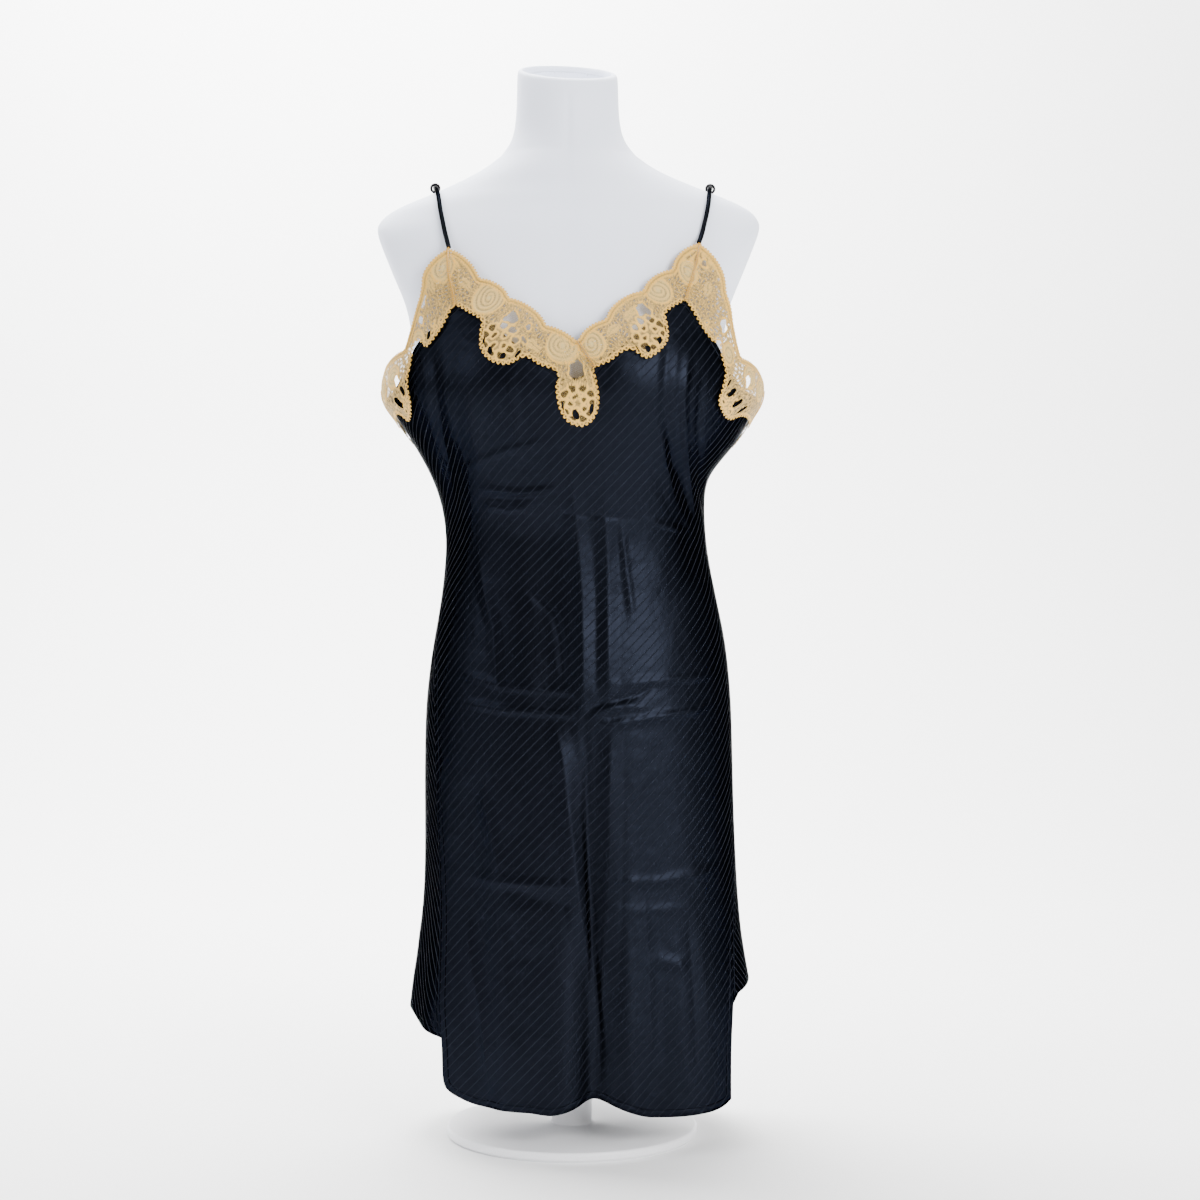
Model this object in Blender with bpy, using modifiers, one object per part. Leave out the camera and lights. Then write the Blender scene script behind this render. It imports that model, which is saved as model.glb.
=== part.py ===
"""A bias-cut satin slip nightshirt with lace edges and cord straps, worn by a limbless dress form.

The form stands on a plain pole and plate. Metres, +Z up, the garment's front towards -Y.
The origin is the middle of the plate's underside, on the surface that the stand rests on.

Cloth is laid out in two coordinates. The first, called turn, runs round the body: 0 is the centre
front, 1 and -1 are the right and left sides as seen from the front, and 2 is the centre back.
The second is the height above the floor.
"""

import math

import bmesh
import bpy
import numpy as np
from mathutils import Vector
from mathutils.bvhtree import BVHTree

# Walls and gaps
SATIN_THICK = 0.0012
LACE_THICK = 0.0014
SEAM_GAP = 0.0003
LACE_GAP = 0.0010
LACE_LIFT = LACE_GAP + LACE_THICK
REST_REACH = 0.006
HOLE_RIM = 0.0008
EASE_SLOPE = 0.12
EASE_PASSES = 6

# Straps
STRAP_RADIUS = 0.0023
STRAP_AXIS_HEIGHT = 0.860
STRAP_LIFT = 0.0008
STRAP_BUTT = 0.0008
SLIDER_BORE = STRAP_RADIUS + 0.0006
SLIDER_WIRE = 0.0012

# Dress form
FORM_CENTRE_X = -0.004
FORM_BOTTOM = 0.350
FORM_EDGE = 0.009
NECK_TOP = 1.060
NECK_SLOPE = 0.36
NECK_TILT = -0.055
NECK_BASE = 0.995
NECK_RIM = 0.006
NECK_RECESS = 0.014
PLATE_LOW = (0.162, 0.827)
PLATE_SLOPE = 0.41
PLATE_DROP = 0.003
PLATE_ROUNDING = 0.006
BUST = {"x": 0.080, "z": 0.754, "spread_x": 0.046, "spread_z": 0.050, "height": 0.021}

# Stand
BASE_RADIUS = 0.125
BASE_THICK = 0.010
BASE_EDGE = 0.003
COLLAR_RADIUS = 0.020
COLLAR_HEIGHT = 0.030
POLE_RADIUS = 0.0125
FLANGE_RADIUS = 0.045
FLANGE_THICK = 0.006

# Height, left and right reach, front and back depth, and how square the section is
FORM_COLUMNS = ("z", "left", "right", "front", "back", "square")
FORM_SECTIONS = (
    (0.350, 0.136, 0.140, 0.096, 0.108, 2.2),
    (0.400, 0.138, 0.142, 0.098, 0.111, 2.2),
    (0.450, 0.134, 0.138, 0.096, 0.106, 2.2),
    (0.500, 0.127, 0.130, 0.091, 0.097, 2.2),
    (0.550, 0.119, 0.121, 0.087, 0.087, 2.2),
    (0.600, 0.1145, 0.1150, 0.084, 0.079, 2.2),
    (0.650, 0.125, 0.126, 0.095, 0.084, 2.2),
    (0.700, 0.142, 0.142, 0.107, 0.092, 2.2),
    (0.750, 0.155, 0.155, 0.116, 0.098, 2.2),
    (0.790, 0.156, 0.156, 0.115, 0.101, 2.2),
    (0.810, 0.162, 0.162, 0.111, 0.101, 2.2),
    (0.830, 0.176, 0.176, 0.106, 0.100, 2.2),
    (0.850, 0.193, 0.193, 0.101, 0.099, 2.2),
    (0.880, 0.206, 0.205, 0.093, 0.095, 2.2),
    (0.896, 0.200, 0.200, 0.088, 0.091, 2.2),
    (0.908, 0.189, 0.193, 0.083, 0.087, 2.2),
    (0.916, 0.180, 0.187, 0.080, 0.084, 2.2),
    (0.922, 0.169, 0.178, 0.078, 0.081, 2.2),
    (0.928, 0.154, 0.165, 0.076, 0.079, 2.2),
    (0.935, 0.136, 0.147, 0.073, 0.076, 2.2),
    (0.943, 0.118, 0.126, 0.071, 0.073, 2.2),
    (0.951, 0.101, 0.106, 0.069, 0.070, 2.2),
    (0.960, 0.085, 0.088, 0.066, 0.065, 2.1),
    (0.969, 0.073, 0.075, 0.062, 0.061, 2.0),
    (0.980, 0.062, 0.063, 0.058, 0.056, 2.0),
    (0.994, 0.054, 0.054, 0.056, 0.053, 2.0),
    (1.012, 0.0515, 0.0505, 0.056, 0.052, 2.0),
    (1.060, 0.0515, 0.0505, 0.056, 0.052, 2.0),
)
SLIP_SECTIONS = (
    (0.030, 0.166, 0.182, 0.122, 0.160, 2.2),
    (0.131, 0.164, 0.180, 0.119, 0.152, 2.2),
    (0.159, 0.160, 0.177, 0.117, 0.149, 2.2),
    (0.204, 0.153, 0.169, 0.115, 0.143, 2.2),
    (0.272, 0.148, 0.164, 0.113, 0.134, 2.2),
    (0.347, 0.148, 0.161, 0.112, 0.128, 2.2),
    (0.423, 0.1465, 0.159, 0.110, 0.124, 2.2),
    (0.482, 0.1395, 0.154, 0.106, 0.115, 2.2),
    (0.544, 0.129, 0.142, 0.101, 0.100, 2.2),
    (0.590, 0.125, 0.134, 0.102, 0.089, 2.2),
    (0.632, 0.131, 0.132, 0.112, 0.089, 2.2),
    (0.653, 0.139, 0.135, 0.118, 0.092, 2.2),
    (0.684, 0.156, 0.160, 0.127, 0.098, 2.2),
    (0.712, 0.173, 0.176, 0.133, 0.102, 2.2),
    (0.737, 0.187, 0.188, 0.136, 0.104, 2.2),
    (0.765, 0.183, 0.184, 0.133, 0.106, 2.2),
    (0.790, 0.180, 0.180, 0.126, 0.108, 2.2),
    (0.820, 0.187, 0.186, 0.115, 0.108, 2.2),
    (0.850, 0.208, 0.201, 0.106, 0.106, 2.2),
    (0.880, 0.216, 0.209, 0.098, 0.103, 2.2),
    (0.905, 0.214, 0.207, 0.091, 0.098, 2.2),
)
SLIP_BUST = {"x": 0.078, "z": 0.756, "spread_x": 0.062, "spread_z": 0.062, "height": 0.010}

# Straight troughs in the front: where each starts and ends, its half width, and its depth at each end
TROUGH_COLUMNS = ("x_top", "z_top", "x_low", "z_low", "half_width", "depth_top", "depth_low")
FRONT_TROUGHS = (
    (0.025, 0.430, 0.027, 0.030, 0.018, 0.004, 0.024),
    (0.102, 0.705, 0.126, 0.540, 0.014, 0.009, 0.003),
    (-0.124, 0.700, -0.108, 0.540, 0.015, 0.008, 0.003),
    (-0.100, 0.400, -0.088, 0.030, 0.018, 0.003, 0.009),
    (0.078, 0.430, 0.086, 0.030, 0.020, 0.002, 0.010),
    (-0.030, 0.640, -0.012, 0.380, 0.016, 0.004, 0.004),
)
# Soft flutes in the back of the skirt
FLUTE_COUNT = 5
FLUTE_TOP = 0.470
FLUTE_DEPTH = 0.011

# Where the side seams run, as turn at each height
SEAM_COLUMNS = ("z", "left", "right")
SIDE_SEAMS = (
    (0.030, 0.52, 0.625),
    (0.094, 0.52, 0.630),
    (0.135, 0.545, 0.655),
    (0.204, 0.59, 0.740),
    (0.260, 0.625, 0.830),
    (0.320, 0.655, 0.895),
    (0.390, 0.685, 0.935),
    (0.440, 0.720, 0.950),
    (0.500, 0.820, 0.965),
    (0.560, 0.92, 0.980),
    (0.640, 0.985, 0.995),
    (0.700, 1.00, 1.000),
    (0.900, 1.00, 1.000),
)
# Hems, as height at each share of a panel's width from seam (-1) to seam (1)
HEM_COLUMNS = ("share", "z")
FRONT_HEM = (
    (-1.00, 0.068),
    (-0.96, 0.0625),
    (-0.88, 0.0575),
    (-0.71, 0.0490),
    (-0.50, 0.0470),
    (-0.30, 0.0465),
    (-0.14, 0.0440),
    (0.00, 0.0480),
    (0.15, 0.0570),
    (0.30, 0.0470),
    (0.50, 0.0385),
    (0.80, 0.0400),
    (0.94, 0.0440),
    (1.00, 0.0490),
)
BACK_HEM = (
    (-1.00, 0.110),
    (-0.86, 0.116),
    (-0.676, 0.130),
    (-0.57, 0.114),
    (-0.45, 0.085),
    (-0.22, 0.055),
    (0.00, 0.047),
    (0.22, 0.056),
    (0.45, 0.090),
    (0.62, 0.132),
    (0.735, 0.159),
    (0.86, 0.154),
    (1.00, 0.147),
)
# The satin's cut edge behind the lace
EDGE_COLUMNS = ("x", "z")
FRONT_TOP_EDGE = (
    (-0.188, 0.728),
    (-0.174, 0.734),
    (-0.165, 0.745),
    (-0.159, 0.759),
    (-0.153, 0.773),
    (-0.142, 0.786),
    (-0.126, 0.797),
    (-0.114, 0.812),
    (-0.108, 0.821),
    (-0.098, 0.812),
    (-0.078, 0.800),
    (-0.058, 0.776),
    (-0.036, 0.764),
    (-0.014, 0.752),
    (0.004, 0.736),
    (0.018, 0.744),
    (0.034, 0.766),
    (0.060, 0.779),
    (0.080, 0.803),
    (0.097, 0.818),
    (0.108, 0.825),
    (0.120, 0.806),
    (0.134, 0.788),
    (0.146, 0.768),
    (0.155, 0.748),
    (0.170, 0.734),
    (0.188, 0.728),
)
BACK_TOP_EDGE = (
    (-1.00, 0.728),
    (-0.88, 0.722),
    (-0.50, 0.712),
    (0.00, 0.706),
    (0.50, 0.712),
    (0.88, 0.722),
    (1.00, 0.728),
)

# Lace bands. The outer edge is scalloped between cusps; the inner edge is given at scallop counts
CUSP_COLUMNS = ("x", "z", "bulge")
INNER_COLUMNS = ("scallop", "x", "z")
NECK_LEFT_CUSPS = (
    (-0.1165, 0.8690, 0.0060),
    (-0.0855, 0.8375, 0.0055),
    (-0.0575, 0.8170, 0.0055),
    (-0.0220, 0.7895, 0.0026),
    (0.0065, 0.7745, 0.0),
)
NECK_LEFT_INNER = (
    (0.00, -0.1090, 0.8120),
    (0.60, -0.0960, 0.8030),
    (1.10, -0.0835, 0.7935),
    (1.35, -0.0848, 0.7850),
    (1.60, -0.0852, 0.7730),
    (1.85, -0.0815, 0.7620),
    (2.10, -0.0690, 0.7525),
    (2.30, -0.0565, 0.7510),
    (2.50, -0.0435, 0.7595),
    (2.80, -0.0300, 0.7515),
    (3.12, -0.0160, 0.7460),
    (3.24, -0.0145, 0.7360),
    (3.36, -0.0135, 0.7240),
    (3.47, -0.0105, 0.7110),
    (3.58, -0.0040, 0.7000),
    (3.68, 0.0100, 0.6940),
    (3.78, 0.0225, 0.7010),
    (3.87, 0.0285, 0.7170),
    (3.94, 0.0262, 0.7340),
    (4.00, 0.0225, 0.7490),
)
NECK_RIGHT_CUSPS = (
    (0.0074, 0.7750, 0.0045),
    (0.0330, 0.7950, 0.0070),
    (0.0682, 0.8243, 0.0060),
    (0.0958, 0.8468, 0.0070),
    (0.1225, 0.8745, 0.0),
)
NECK_RIGHT_INNER = (
    (0.00, 0.0237, 0.7490),
    (0.50, 0.0380, 0.7545),
    (0.95, 0.0500, 0.7640),
    (1.30, 0.0585, 0.7655),
    (1.62, 0.0705, 0.7570),
    (1.90, 0.0850, 0.7660),
    (2.15, 0.0925, 0.7800),
    (2.40, 0.0915, 0.7920),
    (2.65, 0.0895, 0.8005),
    (3.00, 0.0945, 0.8070),
    (4.00, 0.1080, 0.8160),
)
ARM_LEFT_CUSPS = (
    (-0.1170, 0.8690, 0.0035),
    (-0.1425, 0.8340, 0.0010),
    (-0.1520, 0.7980, 0.0010),
    (-0.1590, 0.7730, 0.0055),
    (-0.1890, 0.7420, 0.0),
)
ARM_LEFT_INNER = (
    (0.00, -0.1095, 0.8120),
    (0.50, -0.1155, 0.8010),
    (1.00, -0.1205, 0.7900),
    (1.30, -0.1290, 0.7790),
    (1.55, -0.1370, 0.7700),
    (1.80, -0.1430, 0.7810),
    (2.05, -0.1490, 0.7770),
    (2.50, -0.1515, 0.7550),
    (2.85, -0.1545, 0.7430),
    (3.10, -0.1515, 0.7300),
    (3.35, -0.1505, 0.7160),
    (3.55, -0.1555, 0.7050),
    (3.75, -0.1665, 0.7160),
    (4.00, -0.1710, 0.7060),
)
ARM_RIGHT_CUSPS = (
    (0.1230, 0.8745, 0.0040),
    (0.1485, 0.8290, 0.0020),
    (0.1560, 0.7930, 0.0010),
    (0.1620, 0.7660, 0.0050),
    (0.1895, 0.7400, 0.0),
)
ARM_RIGHT_INNER = (
    (0.00, 0.1085, 0.8160),
    (0.50, 0.1160, 0.8040),
    (1.00, 0.1220, 0.7930),
    (1.30, 0.1320, 0.7790),
    (1.50, 0.1370, 0.7760),
    (1.75, 0.1405, 0.7815),
    (2.10, 0.1415, 0.7640),
    (2.60, 0.1465, 0.7480),
    (2.90, 0.1420, 0.7380),
    (3.15, 0.1385, 0.7260),
    (3.40, 0.1430, 0.7120),
    (3.60, 0.1510, 0.7060),
    (3.78, 0.1650, 0.7130),
    (4.00, 0.1740, 0.7050),
)
# Stretches of each inner edge that are round lobes with cut petals, in scallops
LEFT_LOBES = ((1.35, 2.45), (3.40, 3.84))
RIGHT_LOBES = ((1.35, 2.35),)
ARM_LEFT_LOBES = ((1.30, 1.70), (2.95, 3.50))
ARM_RIGHT_LOBES = ((2.85, 3.60),)
BACK_SCALLOPS = 12
BACK_BULGE = 0.006
BACK_LOBE = 0.010
BACK_BAND_COLUMNS = ("share", "top", "low")
BACK_BAND = (
    (-1.00, 0.743, 0.706),
    (-0.80, 0.736, 0.694),
    (-0.47, 0.744, 0.690),
    (0.00, 0.728, 0.680),
    (0.47, 0.744, 0.690),
    (0.80, 0.736, 0.694),
    (1.00, 0.740, 0.706),
)

# Strap routes between the lace at both ends: x at each angle round the shoulder from the front
STRAP_COLUMNS = ("degrees", "x")
STRAP_LEFT = ((40.0, -0.1265), (90.0, -0.1342), (150.0, -0.1230))
STRAP_RIGHT = ((45.0, 0.1325), (90.0, 0.1362), (150.0, 0.1240))
BACK_STRAP_SCALLOP = 3.5

# Cells of the cloth, with the rows closer together towards the top
FRONT_COLUMNS, FRONT_ROWS = 36, 34
BACK_COLUMNS, BACK_ROWS = 26, 22
ROW_CROWDING = 1.6
EXTRA_ROWS, EXTRA_STEP = 7, 0.02
QUARTER_GIRTH = 0.27
LACE_ROWS_UP = {
    "back": np.array([0.0, 0.09, 0.24, 0.48, 0.74, 1.0]),
    "arm": np.array([0.0, 0.14, 0.34, 0.55, 0.77, 1.0]),
    "neck": np.array([0.0, 0.07, 0.19, 0.36, 0.56, 0.78, 1.0]),
}
FORM_POINTS = 32
STRAP_POINTS = 34

WHITE_COVER = ("white_cover", (0.86, 0.87, 0.92), 0.75, 0.0)
WHITE_STEEL = ("white_steel", (0.84, 0.84, 0.86), 0.40, 0.0)
BLACK_SATIN = ("black_satin", (0.012, 0.014, 0.020), 0.32, 0.0)
GOLD_LACE = ("gold_lace", (0.66, 0.47, 0.22), 0.80, 0.0)
BLACK_ENAMEL = ("black_enamel", (0.010, 0.010, 0.012), 0.25, 0.0)


def column(table, columns, name):
    """One named column of a table, as an array."""
    return np.array([row[columns.index(name)] for row in table])


def smooth_curve(at, x, y):
    """The curve through (x, y) that never overshoots its points, read at each value of at."""
    at, x, y = np.asarray(at, float), np.asarray(x, float), np.asarray(y, float)
    step = np.diff(x)
    slope = np.diff(y) / step
    grade = np.zeros(len(x))
    same_way = slope[:-1] * slope[1:] > 0
    inner = np.zeros(len(slope) - 1)
    inner[same_way] = 2 * slope[:-1][same_way] * slope[1:][same_way] / (slope[:-1] + slope[1:])[same_way]
    grade[1:-1] = inner
    grade[0], grade[-1] = slope[0], slope[-1]
    at = np.clip(at, x[0], x[-1])
    i = np.clip(np.searchsorted(x, at, side="right") - 1, 0, len(step) - 1)
    h, t = step[i], (at - x[i]) / step[i]
    return (
        y[i] * (1 + 2 * t) * (1 - t) ** 2
        + grade[i] * h * t * (1 - t) ** 2
        + y[i + 1] * t * t * (3 - 2 * t)
        + grade[i + 1] * h * t * t * (t - 1)
    )


def section(table, z):
    """The left, right, front, back and squareness of a body section at each height."""
    heights = column(table, FORM_COLUMNS, "z")
    return [smooth_curve(z, heights, column(table, FORM_COLUMNS, name)) for name in FORM_COLUMNS[1:]]


def mound(bust, x, z):
    """How far the bust stands forward at a point."""
    across = (np.abs(x) - bust["x"]) / bust["spread_x"]
    up = (z - bust["z"]) / bust["spread_z"]
    return bust["height"] * np.exp(-(across**2) - up**2)


def ring_point(table, bust, turn, z):
    """x and y on a body section, with turn 0 at the front, 1 at the right side and 2 at the back."""
    left, right, front, back, square = section(table, z)
    angle = turn * math.pi / 2
    wide = np.where(np.sin(angle) < 0, left, right)
    deep = np.where(np.cos(angle) > 0, front, back)
    across, along = wide * np.sin(angle), deep * np.cos(angle)
    reach = (np.abs(across / wide) ** square + np.abs(along / deep) ** square) ** (-1 / square)
    x, y = across * reach, -along * reach
    facing = np.clip(np.cos(angle) * 2.5, 0, 1)
    return x, y - mound(bust, x, z) * facing


def turn_at(x, z):
    """The turn of the slip's front that lies at a given x."""
    left, right, _, _, square = section(SLIP_SECTIONS, z)
    share = np.clip(np.abs(x) / np.where(x < 0, left, right), 0, 1)
    deep_share = (1 - share**square) ** (1 / square)
    return np.sign(x) * np.arctan2(share, deep_share) * 2 / math.pi


def fold_depth(x, z, turn):
    """How far the folds push the cloth inwards at a point."""
    depth = np.zeros_like(x)
    front = np.clip((1.0 - np.abs(turn)) * 6, 0, 1)
    for row in FRONT_TROUGHS:
        x_top, z_top, x_low, z_low, half_width, depth_top, depth_low = row
        down = (z_top - z) / (z_top - z_low)
        middle = x_top + (x_low - x_top) * down
        amount = depth_top + (depth_low - depth_top) * np.clip(down, 0, 1)
        begin = np.clip(down * 5, 0, 1)
        end = 1.0 if z_low <= FRONT_TROUGHS[0][3] else np.clip((1 - down) * 5, 0, 1)
        depth += front * begin * end * amount * np.exp(-(((x - middle) / half_width) ** 2))
    behind = np.clip((np.abs(turn) - 0.95) * 4, 0, 1)
    fall = np.clip((FLUTE_TOP - z) / FLUTE_TOP, 0, 1)
    waves = 0.5 - 0.5 * np.cos((np.abs(turn) - 1) * math.pi * FLUTE_COUNT)
    return depth + behind * fall * FLUTE_DEPTH * waves


def slip_surface(turn, z):
    """Points on the outside of the worn cloth."""
    x, y = ring_point(SLIP_SECTIONS, SLIP_BUST, turn, z)
    reach = np.hypot(x, y)
    kept = 1 - fold_depth(x, z, turn) / reach
    return np.stack([x * kept, y * kept, z], axis=-1)


def slip_normals(turn, z):
    """The direction that the worn cloth faces at each point."""
    across = slip_surface(turn + 0.01, z) - slip_surface(turn - 0.01, z)
    up = slip_surface(turn, z + 0.001) - slip_surface(turn, z - 0.001)
    normal = np.cross(across, up)
    return normal / np.linalg.norm(normal, axis=-1, keepdims=True)


def resting(tree, grid, normals):
    """A grid moved on to the mesh behind it, where there is one."""
    moved = grid.copy()
    for place in np.ndindex(grid.shape[:2]):
        out = Vector(normals[place])
        hit, facing, _, _ = tree.ray_cast(Vector(grid[place]) + out * REST_REACH, -out, 2 * REST_REACH)
        if hit and facing.dot(out) > 0.5:
            moved[place] = hit
    return moved


def material(finish):
    """A plain material with a colour, roughness and metallic value."""
    name, colour, roughness, metallic = finish
    found = bpy.data.materials.get(name)
    if found:
        return found
    made = bpy.data.materials.new(name)
    made.use_nodes = True
    shader = made.node_tree.nodes["Principled BSDF"]
    shader.inputs["Base Color"].default_value = (*colour, 1.0)
    shader.inputs["Roughness"].default_value = roughness
    shader.inputs["Metallic"].default_value = metallic
    return made


def add_object(name, data, finish):
    """Puts new data in the collection of the finished parts."""
    made = bpy.data.objects.new(name, data)
    parts.objects.link(made)
    data.materials.append(material(finish))
    return made


def mesh_from(bm, name):
    """A mesh from a bmesh, shaded smooth but for its sharp edges."""
    mesh = bpy.data.meshes.new(name)
    bm.to_mesh(mesh)
    bm.free()
    mesh.shade_smooth()
    mesh.set_sharp_from_angle(angle=math.radians(40))
    return mesh


def cloth_wall(name, grid, thickness, finish, holes=()):
    """A wall of cloth: an open sheet over a grid of outer points, thickened inwards."""
    rows, columns = grid.shape[:2]
    bm = bmesh.new()
    bmesh.ops.create_grid(bm, x_segments=columns - 1, y_segments=rows - 1, size=1)
    bm.verts.ensure_lookup_table()
    for vertex, point in zip(bm.verts, grid.reshape(-1, 3)):
        vertex.co = point
    if len(holes):
        bm.normal_update()
        bm.faces.ensure_lookup_table()
        chosen = [bm.faces[row * (columns - 1) + cell] for row, cell in holes]
        bmesh.ops.inset_individual(bm, faces=chosen, thickness=HOLE_RIM)
        bmesh.ops.delete(bm, geom=chosen, context="FACES")
    made = add_object(name, mesh_from(bm, name), finish)
    wall = made.modifiers.new("wall", "SOLIDIFY")
    wall.thickness = thickness
    wall.offset = -1
    return made


def panel_grid(columns, rows, seam_side, hem, top_edge, inset):
    """A grid over a panel from seam to seam and up from the hem, with extra rows past its top edge."""
    share = np.linspace(-1, 1, columns + 1)
    low = smooth_curve(share, column(hem, HEM_COLUMNS, "share"), column(hem, HEM_COLUMNS, "z"))
    up = 1 - np.linspace(1, 0, rows + 1) ** ROW_CROWDING
    up = np.concatenate([up, 1 + np.arange(1, EXTRA_ROWS + 1) * EXTRA_STEP])[:, None]
    z = low + (top_edge(share) - low) * up
    return slip_surface(seam_side(share[None, :] * inset, z), z)


def seam_turn(z, side):
    """The turn of a side seam at each height."""
    return smooth_curve(z, column(SIDE_SEAMS, SEAM_COLUMNS, "z"), column(SIDE_SEAMS, SEAM_COLUMNS, side))


def front_turn(share, z):
    """The turn of a front panel's points, from a share of the width between its seams."""
    return share * np.where(share < 0, seam_turn(z, "left"), seam_turn(z, "right"))


def back_turn(share, z):
    """The turn of a back panel's points. Share runs from the right seam (-1) to the left (1)."""
    seam = np.where(share < 0, seam_turn(z, "right"), seam_turn(z, "left"))
    return 2 + share * (2 - seam)


def front_top(share):
    """The height of the front panel's top edge at each share of its width."""
    x, z = column(FRONT_TOP_EDGE, EDGE_COLUMNS, "x"), column(FRONT_TOP_EDGE, EDGE_COLUMNS, "z")
    turns = turn_at(x, z)
    turns[0], turns[-1] = -1, 1
    return smooth_curve(share, turns, z)


def back_top(share):
    """The height of the back panel's top edge at each share of its width."""
    return smooth_curve(
        share, column(BACK_TOP_EDGE, HEM_COLUMNS, "share"), column(BACK_TOP_EDGE, HEM_COLUMNS, "z")
    )


def grid_tree(grid):
    """A search tree of a grid's cells."""
    rows, columns = grid.shape[:2]
    cells = [
        (i, i + 1, i + columns + 1, i + columns)
        for row in range(rows - 1)
        for i in range(row * columns, row * columns + columns - 1)
    ]
    return BVHTree.FromPolygons([Vector(point) for point in grid.reshape(-1, 3)], cells)


def satin_panels():
    """The front and the back, joined by side seams that stop short of the hem as slits.

    Gives back the surfaces that the lace lies on, which are the panels and a little more above them.
    """
    inset = 1 - 2.5 * SEAM_GAP / QUARTER_GIRTH
    front = panel_grid(FRONT_COLUMNS, FRONT_ROWS, front_turn, FRONT_HEM, front_top, inset)
    cloth_wall("front_panel", front[: FRONT_ROWS + 1], SATIN_THICK, BLACK_SATIN)
    mirrored = tuple((-share, z) for share, z in reversed(BACK_HEM))
    back = panel_grid(BACK_COLUMNS, BACK_ROWS, back_turn, mirrored, back_top, inset)
    cloth_wall("back_panel", back[: BACK_ROWS + 1], SATIN_THICK, BLACK_SATIN)
    return [grid_tree(front), grid_tree(back)]


def girth_at(x, z):
    """How far round the front of the cloth a point lies from the centre, roughly in metres."""
    return turn_at(x, z) * QUARTER_GIRTH


def scalloped_edge(cusps, counts):
    """Points along arcs between cusps, each arc with its own number of segments, and their scallop counts."""
    x, z, bulge = (column(cusps, CUSP_COLUMNS, name) for name in CUSP_COLUMNS)
    girth = girth_at(x, z)
    scallop = np.concatenate([np.arange(n) / n + i for i, n in enumerate(counts)] + [[len(counts)]])
    i = np.minimum(scallop.astype(int), len(counts) - 1)
    t = scallop - i
    along = np.stack([girth[i + 1] - girth[i], z[i + 1] - z[i]])
    away = np.stack([-along[1], along[0]]) / np.linalg.norm(along, axis=0)
    away *= np.where(away[1] < 0, -1, 1)
    rise = bulge[i] * (4 * t * (1 - t)) ** 0.75
    return scallop, girth[i] + along[0] * t + away[0] * rise, z[i] + along[1] * t + away[1] * rise


def halved(values):
    """Values with the middle of each pair put in between them."""
    fine = np.repeat(np.asarray(values, float), 2)[:-1]
    fine[1::2] = (fine[:-2:2] + fine[2::2]) / 2
    return fine


def eased(lift, base):
    """Lifts raised where they must be so that none drops away steeply from the next point's."""
    for _ in range(EASE_PASSES):
        for axis in (0, 1):
            fall = EASE_SLOPE * np.linalg.norm(np.diff(base, axis=axis), axis=-1)
            ahead = [slice(None), slice(None)]
            behind = [slice(None), slice(None)]
            ahead[axis], behind[axis] = slice(1, None), slice(None, -1)
            ahead, behind = tuple(ahead), tuple(behind)
            lift[ahead] = np.maximum(lift[ahead], lift[behind] - fall)
            lift[behind] = np.maximum(lift[behind], lift[ahead] - fall)
    return lift


def lace_grid(turn_outer, z_outer, turn_inner, z_inner, rows):
    """A grid over a lace band, from its inner edge up to its outer edge, lying on the satin."""
    up = halved(LACE_ROWS_UP[rows])[:, None]
    turn_inner, z_inner, turn_outer, z_outer = map(halved, (turn_inner, z_inner, turn_outer, z_outer))
    turn = turn_inner + (turn_outer - turn_inner) * up
    z = z_inner + (z_outer - z_inner) * up
    fine, normals = slip_surface(turn, z), slip_normals(turn, z)
    for support in supports:
        fine = resting(support, fine, normals)
    grid, out = fine[::2, ::2], normals[::2, ::2]
    rise = np.full(grid.shape[:2], LACE_LIFT)
    for down in (0, 1):
        for across in (0, 1):
            if down or across:
                spans = [np.s_[i : len(grid) - down + i] for i in {0, down}]
                reaches = [np.s_[i : grid.shape[1] - across + i] for i in {0, across}]
                corners = [(span, reach) for span in spans for reach in reaches]
                chord = sum(grid[corner] for corner in corners) / len(corners)
                middle = fine[down::2, across::2]
                short = ((middle - chord) * normals[down::2, across::2]).sum(-1)
                for corner in corners:
                    rise[corner] = np.maximum(rise[corner], LACE_LIFT + 2.0 * short)
    base = slip_surface(turn, z)[::2, ::2]
    lift = eased(((grid - base) * out).sum(-1) + rise, base)
    return base + out * lift[..., None]


def lobe_holes(scallop, lobes):
    """The cells to cut through in the second row, every other one along each lobe's petals."""
    middles = (scallop[:-1] + scallop[1:]) / 2
    cells = [cell for cell in range(0, len(middles), 2) if any(a < middles[cell] < b for a, b in lobes)]
    return [(1, cell) for cell in cells]


def front_lace(name, cusps, inner, counts, rows, lobes):
    """One band of lace on the front, from tables in x and height."""
    scallop, girth, z = scalloped_edge(cusps, counts)
    stations, x_in, z_in = (column(inner, INNER_COLUMNS, name) for name in INNER_COLUMNS)
    girth_in = smooth_curve(scallop, stations, girth_at(x_in, z_in))
    grid = lace_grid(
        girth / QUARTER_GIRTH, z, girth_in / QUARTER_GIRTH, smooth_curve(scallop, stations, z_in), rows
    )
    if girth[0] > girth[-1]:
        grid, scallop = grid[:, ::-1], scallop[::-1]
    cloth_wall(name, grid, LACE_THICK, GOLD_LACE, lobe_holes(scallop, lobes))


def back_lace_edge(share, edge):
    """The height of one edge of the back's lace, without its scallops."""
    return smooth_curve(share, *(column(BACK_BAND, BACK_BAND_COLUMNS, name) for name in ("share", edge)))


def back_lace_top(share):
    """The height of the scalloped top of the back's lace."""
    phase = (share + 1) / 2 * BACK_SCALLOPS
    return back_lace_edge(share, "top") + BACK_BULGE * np.abs(np.sin(phase * math.pi)) ** 0.75


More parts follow.
